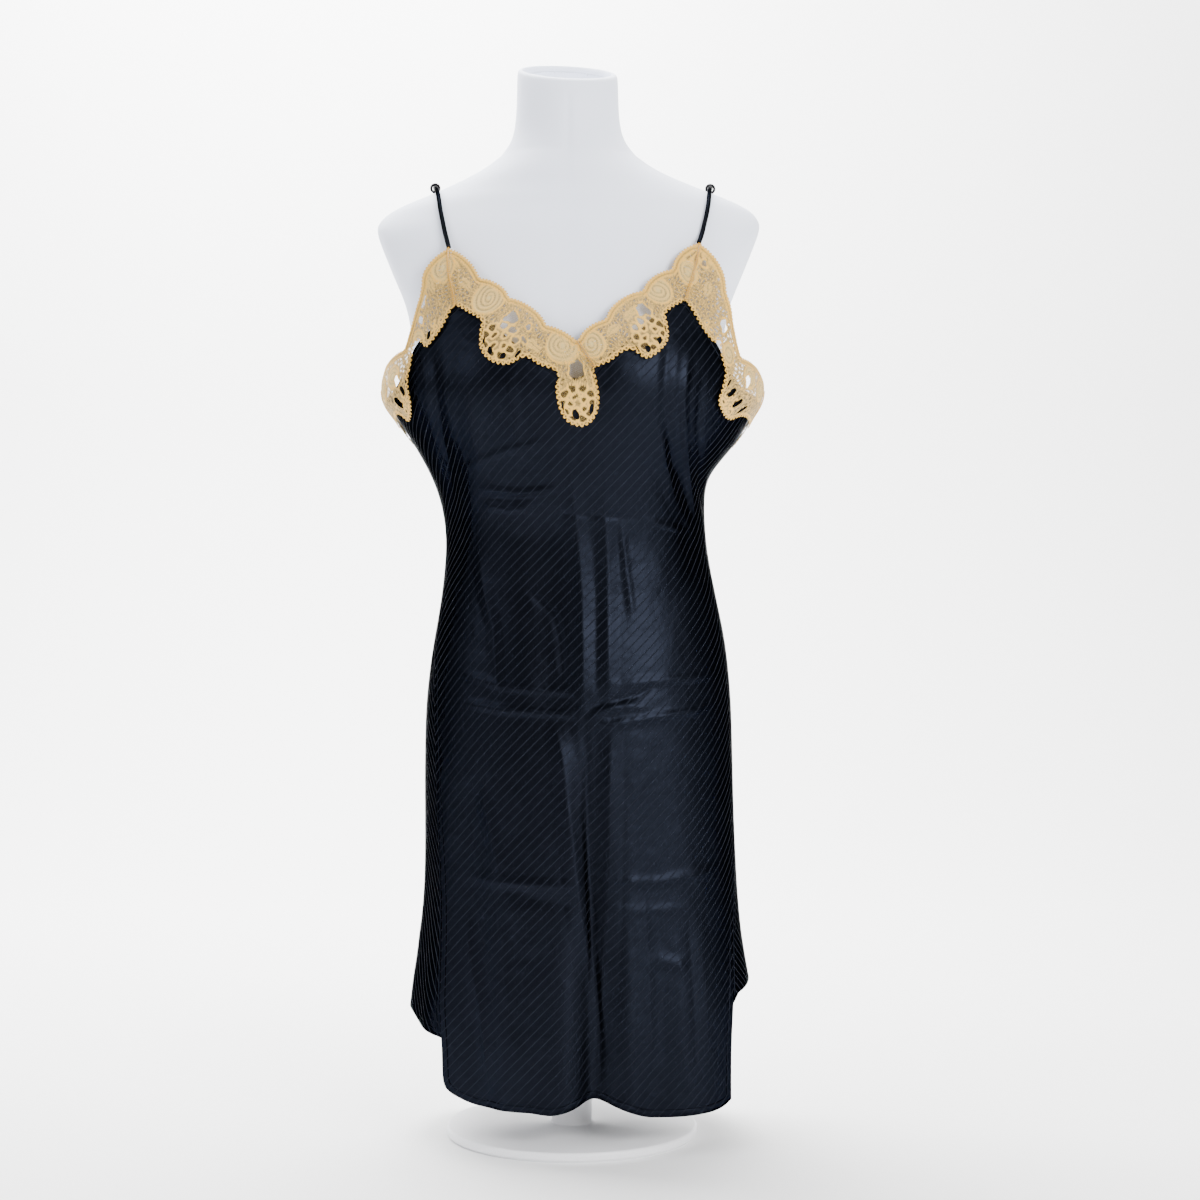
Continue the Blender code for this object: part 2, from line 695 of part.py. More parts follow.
def lace_bands():
    """Five bands: two at the neck, which meet in a V, two at the armholes and one across the back."""
    front_lace("lace_neck_left", NECK_LEFT_CUSPS, NECK_LEFT_INNER, (6, 9, 9, 16), "neck", LEFT_LOBES)
    front_lace("lace_neck_right", NECK_RIGHT_CUSPS, NECK_RIGHT_INNER, (6, 9, 9, 6), "neck", RIGHT_LOBES)
    front_lace("lace_arm_left", ARM_LEFT_CUSPS, ARM_LEFT_INNER, (6, 6, 4, 11), "arm", ARM_LEFT_LOBES)
    front_lace("lace_arm_right", ARM_RIGHT_CUSPS, ARM_RIGHT_INNER, (6, 6, 4, 11), "arm", ARM_RIGHT_LOBES)
    share = np.linspace(-1, 1, BACK_SCALLOPS * 5 + 1)
    phase = (share + 1) / 2 * BACK_SCALLOPS
    lobes = [(2 * i + 0.45, 2 * i + 1.55) for i in range(BACK_SCALLOPS // 2)]
    ends = np.clip((1 - np.abs(share)) * 8, 0, 1)
    low = back_lace_edge(share, "low") - BACK_LOBE * np.sin(phase * math.pi / 2) ** 2 * ends
    turn = 2 + share * (1 - 2.6 * SEAM_GAP / QUARTER_GIRTH)
    grid = lace_grid(turn, back_lace_top(share), turn, low, "back")
    cloth_wall("lace_back", grid, LACE_THICK, GOLD_LACE, lobe_holes(phase, lobes))


def form_ring(z, inset=0.0):
    """One closed ring of points on the dress form, with its flat armhole plates and slanting neck top."""
    turn = np.arange(FORM_POINTS) * 4 / FORM_POINTS
    height = np.full(FORM_POINTS, z)
    x, y = ring_point(FORM_SECTIONS, BUST, turn, height)
    shrink = 1 - inset / np.hypot(x, y)
    x, y = x * shrink, y * shrink
    plate = PLATE_LOW[0] + max((z - PLATE_LOW[1]) * PLATE_SLOPE, -PLATE_DROP)
    over = np.maximum(np.abs(x) - plate + PLATE_ROUNDING, 0)
    held = PLATE_ROUNDING * (1 - np.exp(-over / PLATE_ROUNDING))
    x = np.where(over > 0, np.sign(x) * (plate - PLATE_ROUNDING + held), x)
    lean = np.clip((z - NECK_BASE) / (NECK_TOP - NECK_BASE), 0, 1)
    return np.stack([x + FORM_CENTRE_X, y, height + lean * (NECK_SLOPE * y + NECK_TILT * x)], -1)


def loft(rings):
    """A closed body through rings of the same number of points, from the lowest to the last, with flat ends."""
    bm = bmesh.new()
    loops = [[bm.verts.new(point) for point in ring] for ring in rings]
    count = len(loops[0])
    for lower, upper in zip(loops, loops[1:]):
        for i in range(count):
            j = (i + 1) % count
            bm.faces.new((lower[i], lower[j], upper[j], upper[i]))
    bm.faces.new(reversed(loops[0]))
    bm.faces.new(loops[-1])
    return bm


def dress_form():
    """A limbless torso: hips, waist, bust, flat armhole plates, shoulders and a neck with a hollow top."""
    heights = np.concatenate(
        [
            np.linspace(FORM_BOTTOM + FORM_EDGE, 0.68, 8),
            np.linspace(0.705, 0.885, 10),
            [0.897, 0.906, 0.914, 0.920, 0.926, 0.932, 0.940, 0.949, 0.959, 0.970, 0.982],
            np.linspace(0.998, NECK_TOP - 0.003, 3),
        ]
    )
    rings = [form_ring(FORM_BOTTOM, FORM_EDGE), form_ring(FORM_BOTTOM + FORM_EDGE * 0.3, FORM_EDGE * 0.3)]
    rings += [form_ring(z) for z in heights]
    rings += [form_ring(NECK_TOP, NECK_RIM * 0.4), form_ring(NECK_TOP, NECK_RIM)]
    recess = form_ring(NECK_TOP, NECK_RIM) - np.array([0, 0, NECK_RECESS])
    rings.append(recess)
    bm = loft(rings)
    bmesh.ops.recalc_face_normals(bm, faces=bm.faces)
    return add_object("form_torso", mesh_from(bm, "form_torso"), WHITE_COVER)


def turned(name, profile, finish):
    """A body turned about the Z axis from (radius, height) points, listed down its outer side."""
    bm = bmesh.new()
    points = [bm.verts.new((radius, 0, z)) for radius, z in profile]
    for a, b in zip(points, points[1:]):
        bm.edges.new((a, b))
    made = add_object(name, mesh_from(bm, name), finish)
    screw = made.modifiers.new("turn", "SCREW")
    screw.steps = screw.render_steps = 32
    screw.use_merge_vertices = True
    screw.merge_threshold = 0.00001
    return made


def stand():
    """A round plate with a socket, and a pole with a flange on top that the form sits on."""
    bore = POLE_RADIUS + SEAM_GAP
    top = BASE_THICK + COLLAR_HEIGHT
    turned(
        "stand_base",
        (
            (0, BASE_THICK),
            (bore, BASE_THICK),
            (bore, top),
            (COLLAR_RADIUS, top),
            (COLLAR_RADIUS, BASE_THICK),
            (BASE_RADIUS - BASE_EDGE, BASE_THICK),
            (BASE_RADIUS, BASE_THICK - BASE_EDGE),
            (BASE_RADIUS, BASE_EDGE),
            (BASE_RADIUS - BASE_EDGE, 0),
            (0, 0),
        ),
        WHITE_STEEL,
    )
    seat = FORM_BOTTOM - SEAM_GAP
    low = seat - FLANGE_THICK
    foot = BASE_THICK + SEAM_GAP
    turned(
        "stand_pole",
        (
            (0, seat),
            (FLANGE_RADIUS, seat),
            (FLANGE_RADIUS, low),
            (POLE_RADIUS, low),
            (POLE_RADIUS, foot),
            (0, foot),
        ),
        WHITE_STEEL,
    )


def strap_anchor(turn, z):
    """The middle of a strap's cut end, just above the edge of the lace that it is sewn to."""
    turn, z = np.array([turn]), np.array([z + STRAP_BUTT])
    return Vector((slip_surface(turn, z) + slip_normals(turn, z) * (LACE_LIFT - LACE_THICK / 2))[0])


def strap_route(form_tree, route, front_end, back_end):
    """Points along a strap's middle, laid on the form from the front peak over the shoulder to the back."""
    degrees, x = (list(column(route, STRAP_COLUMNS, name)) for name in STRAP_COLUMNS)
    first, last = (
        math.degrees(math.atan2(end.z - STRAP_AXIS_HEIGHT, -end.y)) % 360 for end in (front_end, back_end)
    )
    angles = np.linspace(first, last, STRAP_POINTS)
    across = smooth_curve(angles, [first, *degrees, last], [front_end.x, *x, back_end.x])
    raised = SLIDER_BORE + 2 * SLIDER_WIRE - STRAP_RADIUS
    points = [front_end]
    for angle, x in list(zip(angles, across))[1:-1]:
        inside = Vector((x, 0, STRAP_AXIS_HEIGHT))
        way = Vector((0, -math.cos(math.radians(angle)), math.sin(math.radians(angle))))
        place, normal, _, _ = form_tree.ray_cast(inside, way)
        if normal.dot(way) < 0:
            normal = -normal
        over_ring = raised * math.exp(-(((angle - 90) / 16) ** 2))
        points.append(place + normal * (STRAP_RADIUS + STRAP_LIFT + over_ring))
    return [*points, back_end]


def strap(side, form_tree, route, cusp):
    """A sewn satin cord, and the ring that it runs through on top of the shoulder."""
    peak_x, peak_z, _ = cusp
    across = 1 if side == "right" else -1
    back_share = 1 - 2 * BACK_STRAP_SCALLOP / BACK_SCALLOPS
    back_z = float(back_lace_top(np.array([back_share]))[0])
    points = strap_route(
        form_tree,
        route,
        strap_anchor(float(turn_at(peak_x, peak_z)), peak_z),
        strap_anchor(across * (2 - back_share), back_z),
    )
    data = bpy.data.curves.new(f"strap_{side}", "CURVE")
    data.dimensions = "3D"
    spline = data.splines.new("POLY")
    spline.points.add(len(points) - 1)
    for spline_point, point in zip(spline.points, points):
        spline_point.co = (*point, 1)
    data.bevel_depth = STRAP_RADIUS
    data.bevel_resolution = 2
    data.use_fill_caps = True
    add_object(f"strap_{side}", data, BLACK_SATIN)
    crest = max(range(len(points)), key=lambda i: points[i].z)
    along = (points[crest + 1] - points[crest - 1]).normalized()
    bpy.ops.mesh.primitive_torus_add(
        major_radius=SLIDER_BORE + SLIDER_WIRE,
        minor_radius=SLIDER_WIRE,
        major_segments=16,
        minor_segments=6,
        location=points[crest],
    )
    ring = bpy.context.object
    ring.name = f"slider_{side}"
    ring.rotation_mode = "QUATERNION"
    ring.rotation_quaternion = along.to_track_quat("Z", "Y")
    ring.data.materials.append(material(BLACK_ENAMEL))
    for collection in list(ring.users_collection):
        collection.objects.unlink(ring)
    parts.objects.link(ring)


for old in list(bpy.data.objects):
    bpy.data.objects.remove(old)
parts = bpy.data.collections.new("slip_nightshirt_on_form")
bpy.context.scene.collection.children.link(parts)

form = dress_form()
bpy.context.view_layer.update()
tree = BVHTree.FromObject(form, bpy.context.evaluated_depsgraph_get())
stand()
supports = satin_panels()
lace_bands()
strap("left", tree, STRAP_LEFT, NECK_LEFT_CUSPS[0])
strap("right", tree, STRAP_RIGHT, NECK_RIGHT_CUSPS[-1])
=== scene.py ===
import math

import bmesh
import bpy
import numpy as np
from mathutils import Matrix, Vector
from mathutils.bvhtree import BVHTree


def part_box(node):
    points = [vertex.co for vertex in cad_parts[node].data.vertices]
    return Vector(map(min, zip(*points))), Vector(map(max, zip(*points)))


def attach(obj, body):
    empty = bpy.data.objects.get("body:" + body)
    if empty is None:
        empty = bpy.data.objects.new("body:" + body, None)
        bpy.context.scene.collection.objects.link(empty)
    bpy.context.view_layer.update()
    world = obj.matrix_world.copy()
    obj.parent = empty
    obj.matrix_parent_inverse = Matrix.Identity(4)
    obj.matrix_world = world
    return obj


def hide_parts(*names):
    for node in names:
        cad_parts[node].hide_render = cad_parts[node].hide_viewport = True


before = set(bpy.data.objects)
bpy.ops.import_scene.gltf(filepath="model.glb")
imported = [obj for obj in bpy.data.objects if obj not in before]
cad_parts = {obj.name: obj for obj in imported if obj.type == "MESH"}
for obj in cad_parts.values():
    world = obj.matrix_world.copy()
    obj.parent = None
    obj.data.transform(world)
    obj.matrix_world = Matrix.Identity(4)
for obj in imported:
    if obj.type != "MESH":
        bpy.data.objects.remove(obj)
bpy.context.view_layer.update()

# The view and its light. The camera stands level with the hips, 2.2 m in front of the form. A pale
# floor runs up into a plain wall behind. The main lamp is soft and stands to the right of the camera.
CAMERA_PLACE = (0.028, -2.2, 0.532)
CAMERA_LENS = 66
CAMERA_SENSOR = 36
ROOM_LIGHT = 0.32
FLOOR_HALF_WIDTH = 7.0
FLOOR_FRONT = -5.0
WALL_BEND_START = 1.6
WALL_BEND_RADIUS = 1.0
WALL_BEND_STEPS = 12
WALL_TOP = 5.0
FLOOR_GREYS = ((0.90, 0.90, 0.90, 1), (0.94, 0.94, 0.94, 1))

camera = bpy.data.objects.new("camera", bpy.data.cameras.new("camera"))
camera.location = CAMERA_PLACE
camera.rotation_euler = (math.pi / 2, 0, 0)
camera.data.lens = CAMERA_LENS
camera.data.sensor_width = CAMERA_SENSOR
bpy.context.scene.collection.objects.link(camera)
bpy.context.scene.camera = camera


def soft_lamp(name, place, target, size, power, colour):
    """A square lamp that faces a point."""
    lamp = bpy.data.lights.new(name, "AREA")
    lamp.size = size
    lamp.energy = power
    lamp.color = colour
    made = bpy.data.objects.new(name, lamp)
    made.location = place
    made.rotation_euler = (Vector(target) - Vector(place)).to_track_quat("-Z", "Y").to_euler()
    bpy.context.scene.collection.objects.link(made)


soft_lamp("right_lamp", (1.7, -2.5, 1.45), (0, 0, 0.55), 1.6, 155, (1.0, 1.0, 1.0))
soft_lamp("left_lamp", (-2.6, -1.6, 1.9), (0, 0, 0.7), 1.6, 55, (0.93, 0.95, 1.0))
soft_lamp("top_lamp", (0.2, 0.5, 3.2), (0, 0.6, 0), 2.0, 60, (1.0, 1.0, 1.0))
soft_lamp("back_lamp", (-0.6, 1.2, 2.6), (0, 2.4, 0.8), 2.4, 430, (1.0, 1.0, 1.0))

world = bpy.data.worlds.new("room")
world.use_nodes = True
world.node_tree.nodes["Background"].inputs["Color"].default_value = (1.0, 1.0, 1.0, 1.0)
world.node_tree.nodes["Background"].inputs["Strength"].default_value = ROOM_LIGHT
bpy.context.scene.world = world


class Value:
    """A number on a surface that Python's operators work on, with a Math node for each."""

    def __init__(self, finish, socket):
        self.finish = finish
        self.socket = socket

    def math(self, operation, *numbers):
        """The result of a Math node on some numbers."""
        return self.finish.node("ShaderNodeMath", {"operation": operation}, numbers)

    def __add__(self, other):
        return self.math("ADD", self, other)

    __radd__ = __add__

    def __sub__(self, other):
        return self.math("SUBTRACT", self, other)

    def __rsub__(self, other):
        return self.math("SUBTRACT", other, self)

    def __mul__(self, other):
        return self.math("MULTIPLY", self, other)

    __rmul__ = __mul__

    def __truediv__(self, other):
        return self.math("DIVIDE", self, other)

    def __abs__(self):
        return self.math("ABSOLUTE", self)

    def part(self):
        """What is left after the whole number."""
        return self.math("FRACT", self)

    def wave(self):
        """The sine of the number."""
        return self.math("SINE", self)

    def held(self):
        """The number kept between 0 and 1."""
        return self.finish.node("ShaderNodeClamp", {}, (self,))

    def most(self, other):
        """The larger of two numbers."""
        return self.math("MAXIMUM", self, other)


class Finish:
    """A material as it is put together, one node at a time."""

    def __init__(self, name, sockets):
        self.material = bpy.data.materials.new(name)
        self.material.use_nodes = True
        self.tree = self.material.node_tree
        self.shader = self.tree.nodes["Principled BSDF"]
        self.fill(self.shader, sockets)

    def fill(self, node, sockets):
        """Sets or links a node's sockets, given by name or in order."""
        for key, value in sockets.items() if isinstance(sockets, dict) else enumerate(sockets):
            if isinstance(value, Value):
                self.tree.links.new(value.socket, node.inputs[key])
            else:
                node.inputs[key].default_value = value

    def node(self, kind, settings, sockets=(), output=0):
        """Adds a node with its settings, then its sockets, and gives back one of its outputs."""
        made = self.tree.nodes.new(kind)
        for key, value in settings.items():
            setattr(made, key, value)
        self.fill(made, sockets)
        return Value(self, made.outputs[output])

    def place(self):
        """Where the point lies on the piece, in metres."""
        return self.node("ShaderNodeTexCoord", {}, output="Object")

    def noise(self, at, scale, detail=2.0):
        """Soft random grey, from 0 to 1."""
        return self.node("ShaderNodeTexNoise", {}, {"Vector": at, "Scale": scale, "Detail": detail})

    def blend(self, share, first, second):
        """A colour between two colours."""
        return self.node("ShaderNodeMix", {"data_type": "RGBA"}, {0: share, 6: first, 7: second}, 2)

    def bump(self, height, distance, strength):
        """The surface's direction after a relief of that height is pressed into it."""
        return self.node("ShaderNodeBump", {}, {"Height": height, "Distance": distance, "Strength": strength})


floor_profile = [(FLOOR_FRONT, 0.0), (WALL_BEND_START, 0.0)]
for step in range(1, WALL_BEND_STEPS + 1):
    angle = math.pi / 2 * step / WALL_BEND_STEPS
    bend_y = WALL_BEND_START + WALL_BEND_RADIUS * math.sin(angle)
    floor_profile.append((bend_y, WALL_BEND_RADIUS * (1 - math.cos(angle))))
floor_profile.append((WALL_BEND_START + WALL_BEND_RADIUS, WALL_TOP))
bm = bmesh.new()
edge_points = [bm.verts.new((-FLOOR_HALF_WIDTH, y, z)) for y, z in floor_profile]
edges = [bm.edges.new(pair) for pair in zip(edge_points, edge_points[1:])]
swept = bmesh.ops.extrude_edge_only(bm, edges=edges)["geom"]
swept_points = [item for item in swept if isinstance(item, bmesh.types.BMVert)]
bmesh.ops.translate(bm, verts=swept_points, vec=(2 * FLOOR_HALF_WIDTH, 0, 0))
bmesh.ops.recalc_face_normals(bm, faces=bm.faces)
floor_mesh = bpy.data.meshes.new("floor")
bm.to_mesh(floor_mesh)
bm.free()
floor_mesh.shade_smooth()
floor = bpy.data.objects.new("floor", floor_mesh)
bpy.context.scene.collection.objects.link(floor)
pale = Finish("pale_floor", {"Roughness": 0.9})
cloudy = pale.noise(pale.place(), 1.3)
pale.fill(pale.shader, {"Base Color": pale.blend(cloudy, *FLOOR_GREYS)})
floor_mesh.materials.append(pale.material)


# The dress form: a moulded torso under a tight white cotton cover. The cover has a seam down its
# front and back, and is turned in and stitched round the hollow top of the neck.
FORM_ROUNDING = 2
MERGE_REACH = 0.00001
WALL_TURN = 65
CRISP_TURN = 60
COVER_SEAM_X = -0.003
COVER_SEAM_DEPTH = 0.0016
COVER_SEAM_HALF_WIDTH = 0.0028
COVER_SEAM_TOP = 1.035
COVER_SEAM_FADE = 0.02
COVER_CREASE_HEIGHT = 0.974
COVER_CREASE_HALF_WIDTH = 0.003
COVER_CREASE_DEPTH = 0.0005
COVER_WHITES = ((0.80, 0.84, 0.96, 1), (0.85, 0.885, 0.985, 1))


def rows_of(mesh, layer, name):
    """A mesh layer's vectors as an array, a row for each."""
    rows = np.empty(len(layer) * 3, np.float32)
    layer.foreach_get(name, rows)
    return rows.reshape(-1, 3).astype(float)


def outer_face(bm):
    """The faces of a wall that look away from the body's axis, up to the wall's rims."""

    def outward(face):
        middle = face.calc_center_median()
        return face.normal.dot(Vector((middle.x, middle.y, 0)).normalized())

    start = max(bm.faces, key=outward)
    kept, waiting = {start}, [start]
    while waiting:
        face = waiting.pop()
        for edge in face.edges:
            if edge.calc_face_angle(math.pi) < math.radians(WALL_TURN):
                for other in edge.link_faces:
                    if other not in kept:
                        kept.add(other)
                        waiting.append(other)
    return kept


def refined(node, name, levels, wall=True):
    """A node's mesh joined back into squares and rounded off. Of a wall, only its outer face is kept."""
    bm = bmesh.new()
    bm.from_mesh(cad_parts[node].data)
    bmesh.ops.remove_doubles(bm, verts=bm.verts, dist=MERGE_REACH)
    if wall:
        kept = outer_face(bm)
        bmesh.ops.delete(bm, geom=[face for face in bm.faces if face not in kept], context="FACES")
    bmesh.ops.join_triangles(bm, faces=bm.faces, angle_face_threshold=0.9, angle_shape_threshold=3.1)
    crisp = bm.edges.layers.float.new("crease_edge")
    for edge in bm.edges:
        edge[crisp] = float(not wall and edge.calc_face_angle(0) > math.radians(CRISP_TURN))
    rough = bpy.data.meshes.new(name)
    bm.to_mesh(rough)
    bm.free()
    piece = bpy.data.objects.new(name, rough)
    bpy.context.scene.collection.objects.link(piece)
    rounding = piece.modifiers.new("rounding", "SUBSURF")
    rounding.levels = rounding.render_levels = levels
    rounding.boundary_smooth = "PRESERVE_CORNERS"
    ready = piece.evaluated_get(bpy.context.evaluated_depsgraph_get())
    piece.data = bpy.data.meshes.new_from_object(ready)
    piece.modifiers.clear()
    piece.data.name = name
    piece.data.shade_smooth()
    return piece


def finish_piece(piece, material, slot, *nodes):
    """Gives a piece its material, hangs it on the root body and hides the nodes it stands in for."""
    piece.data.materials.clear()
    piece.data.materials.append(material)
    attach(piece, "root")
    if nodes:
        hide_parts(*nodes)


def thread_piece(name, paths, thick, material, slot, owner):
    """Thin threads that follow the given paths, as one piece."""
    curve = bpy.data.curves.new(name, "CURVE")
    curve.dimensions = "3D"
    curve.bevel_depth = thick / 2
    curve.bevel_resolution = 1
    for path in paths:
        spline = curve.splines.new("POLY")
        spline.points.add(len(path) - 1)
        spline.points.foreach_set("co", np.c_[path, np.ones(len(path))].astype(np.float32).ravel())
    thread = bpy.data.objects.new(name, curve)
    bpy.context.scene.collection.objects.link(thread)
    finish_piece(thread, material, slot, owner)


form = refined("form_torso", "form_cover", FORM_ROUNDING, wall=False)
points = rows_of(form.data, form.data.vertices, "co")
facing = rows_of(form.data, form.data.vertex_normals, "vector")
seam = np.exp(-(((points[:, 0] - COVER_SEAM_X) / COVER_SEAM_HALF_WIDTH) ** 2)) * (np.abs(facing[:, 1]) > 0.3)
seam *= np.clip((COVER_SEAM_TOP - points[:, 2]) / COVER_SEAM_FADE, 0, 1)
crease = np.exp(-(((points[:, 2] - COVER_CREASE_HEIGHT) / COVER_CREASE_HALF_WIDTH) ** 2)) * (points[:, 1] < 0)
points -= facing * (COVER_SEAM_DEPTH * seam + COVER_CREASE_DEPTH * crease)[:, None]
form.data.vertices.foreach_set("co", points.astype(np.float32).ravel())
cover = Finish("white_cotton_cover", {"Roughness": 0.85, "Sheen Weight": 0.15})
at = cover.place()
threads = cover.noise(at, 900.0, 1.0)
slack = cover.noise(at, 9.0, 3.0)
cover.fill(
    cover.shader,
    {
        "Base Color": cover.blend(slack, *COVER_WHITES),
        "Normal": cover.bump(threads * 0.12 + slack * 1.4, 0.0012, 0.5),
    },
)
finish_piece(form, cover.material, "white_cover", "form_torso")

STITCHES_ROUND_NECK = 54
STITCH_SHARE = 0.62
STITCH_BELOW_TOP = 0.0065
STITCH_THICK = 0.0009
STITCH_PROUD = 0.0002
NECK_RIM_BAND = 0.03
NECK_POINTS_BESIDE = 8
rim = points[points[:, 2] > points[:, 2].max() - NECK_RIM_BAND]
neck_x, neck_y = rim[:, 0].mean(), rim[:, 1].mean()
rim_turns = np.arctan2(rim[:, 0] - neck_x, -(rim[:, 1] - neck_y))
hollow_tree = BVHTree.FromObject(form, bpy.context.evaluated_depsgraph_get())
stitch_paths = []
for k in range(STITCHES_ROUND_NECK):
    path = []
    for share in (0.0, 0.5, 1.0):
        turn = 2 * math.pi * (k + share * STITCH_SHARE) / STITCHES_ROUND_NECK
        beside = np.argsort(-np.cos(rim_turns - turn))[:NECK_POINTS_BESIDE]
        way = Vector((math.sin(turn), -math.cos(turn), 0))
        height = rim[beside, 2].max() - STITCH_BELOW_TOP
        hit = hollow_tree.ray_cast(Vector((neck_x, neck_y, height)), way)[0]
        if hit:
            path.append(hit - way * STITCH_PROUD)
    if len(path) == 3:
        stitch_paths.append(np.array(path))
# The stitches are white cotton thread, coloured grey here as painted shade: the shadow in and round each
# stitch.
cotton = Finish("cotton_thread_painted_shade_grey", {"Base Color": (0.58, 0.61, 0.70, 1), "Roughness": 0.7})
ply = cotton.noise(cotton.place(), 1200.0, 1.0)
cotton.fill(cotton.shader, {"Normal": cotton.bump(ply, 0.0003, 0.5)})
thread_piece("neck_stitches", stitch_paths, STITCH_THICK, cotton.material, "white_cover", "form_torso")


# The stand: a round steel plate with a welded socket, and a tube with a flange that carries the
# form. Both are turned or cut, welded, and powder coated white.
STAND_STEPS = 96
SHARP_TURN = 35
COATING_WHITES = ((0.80, 0.80, 0.82, 1), (0.86, 0.86, 0.88, 1))


def turned_piece(name, profile):
    """A body turned about the upright axis, from (radius, height) points listed up its outer side."""
    bm = bmesh.new()
    line = [bm.verts.new((radius, 0, z)) for radius, z in profile]
    edges = [bm.edges.new(pair) for pair in zip(line, line[1:])]
    bmesh.ops.spin(
        bm,
        geom=line + edges,
        axis=(0, 0, 1),
        cent=(0, 0, 0),
        angle=2 * math.pi,
        steps=STAND_STEPS,
        use_merge=True,
    )
    bmesh.ops.remove_doubles(bm, verts=bm.verts, dist=MERGE_REACH)
    bmesh.ops.recalc_face_normals(bm, faces=bm.faces)
    mesh = bpy.data.meshes.new(name)
    bm.to_mesh(mesh)
    bm.free()
    mesh.shade_smooth()
    mesh.set_sharp_from_angle(angle=math.radians(SHARP_TURN))
    piece = bpy.data.objects.new(name, mesh)
    bpy.context.scene.collection.objects.link(piece)
    return piece


plate_low, plate_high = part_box("stand_base")
pole_low, pole_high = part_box("stand_pole")
plate_radius = plate_high.x
socket_height = plate_high.z
PLATE_THICK = 0.010
PLATE_ROUND = 0.003
SOCKET_RADIUS = 0.020
SOCKET_PLAY = 0.0003
TUBE_RADIUS = 0.0125
FLANGE_THICK = 0.006
WELD = 0.004
WELD_HOLLOW = 0.3 * WELD
EDGE_BREAK = 0.001
plate_edge = [
    (plate_radius - PLATE_ROUND * (1 - math.sin(a)), PLATE_THICK - PLATE_ROUND * (1 - math.cos(a)))
    for a in np.linspace(math.pi / 2, 0, 5)
]
plate = turned_piece(
    "stand_plate",
    [
        (0, 0),
        (plate_radius - PLATE_ROUND, 0),
        (plate_radius, PLATE_ROUND),
        *plate_edge,
        (SOCKET_RADIUS + WELD, PLATE_THICK),
        (SOCKET_RADIUS + WELD_HOLLOW, PLATE_THICK + WELD_HOLLOW),
        (SOCKET_RADIUS, PLATE_THICK + WELD),
        (SOCKET_RADIUS, socket_height - EDGE_BREAK),
        (SOCKET_RADIUS - EDGE_BREAK, socket_height),
        (TUBE_RADIUS + SOCKET_PLAY, socket_height),
        (TUBE_RADIUS + SOCKET_PLAY, PLATE_THICK),
        (0, PLATE_THICK),
    ],
)
flange_radius = pole_high.x
flange_low = pole_high.z - FLANGE_THICK
tube = turned_piece(
    "stand_tube",
    [
        (0, pole_low.z),
        (TUBE_RADIUS, pole_low.z),
        (TUBE_RADIUS, flange_low - WELD),
        (TUBE_RADIUS + WELD_HOLLOW, flange_low - WELD_HOLLOW),
        (TUBE_RADIUS + WELD, flange_low),
        (flange_radius - EDGE_BREAK, flange_low),
        (flange_radius, flange_low + EDGE_BREAK),
        (flange_radius, pole_high.z),
        (0, pole_high.z),
    ],
)
coating = Finish("white_powder_coat", {"Roughness": 0.42})
pebble = coating.noise(coating.place(), 700.0, 1.0)
coating.fill(
    coating.shader,
    {
        "Base Color": coating.blend(pebble, *COATING_WHITES),
        "Normal": coating.bump(pebble, 0.0003, 0.4),
    },
)
finish_piece(plate, coating.material, "white_steel", "stand_base")
finish_piece(tube, coating.material, "white_steel", "stand_pole")


# The slip's front and back: two panels of black satin cut on the bias, with fine matt stripes woven
# in. They are sewn at the sides down to the slits, and hang with the folds that packing pressed in.
SATIN_ROUNDING = 3
SATIN_THICK = 0.0006
HEM_WIDTH = 0.006
GIRTH_HEIGHTS = np.arange(0.062, 0.86, 0.006)
GIRTH_BEARINGS = np.radians(np.arange(-180, 181, 1.5))
GIRTH_LEAST_HITS = 8
POINTS_AT_ONCE = 4000

CREST_ROUND = 0.45
CREST_SHAPE = 1.15
FOLD_FADE = 5
FOLD_KEPT_FROM_EDGE = 0.012

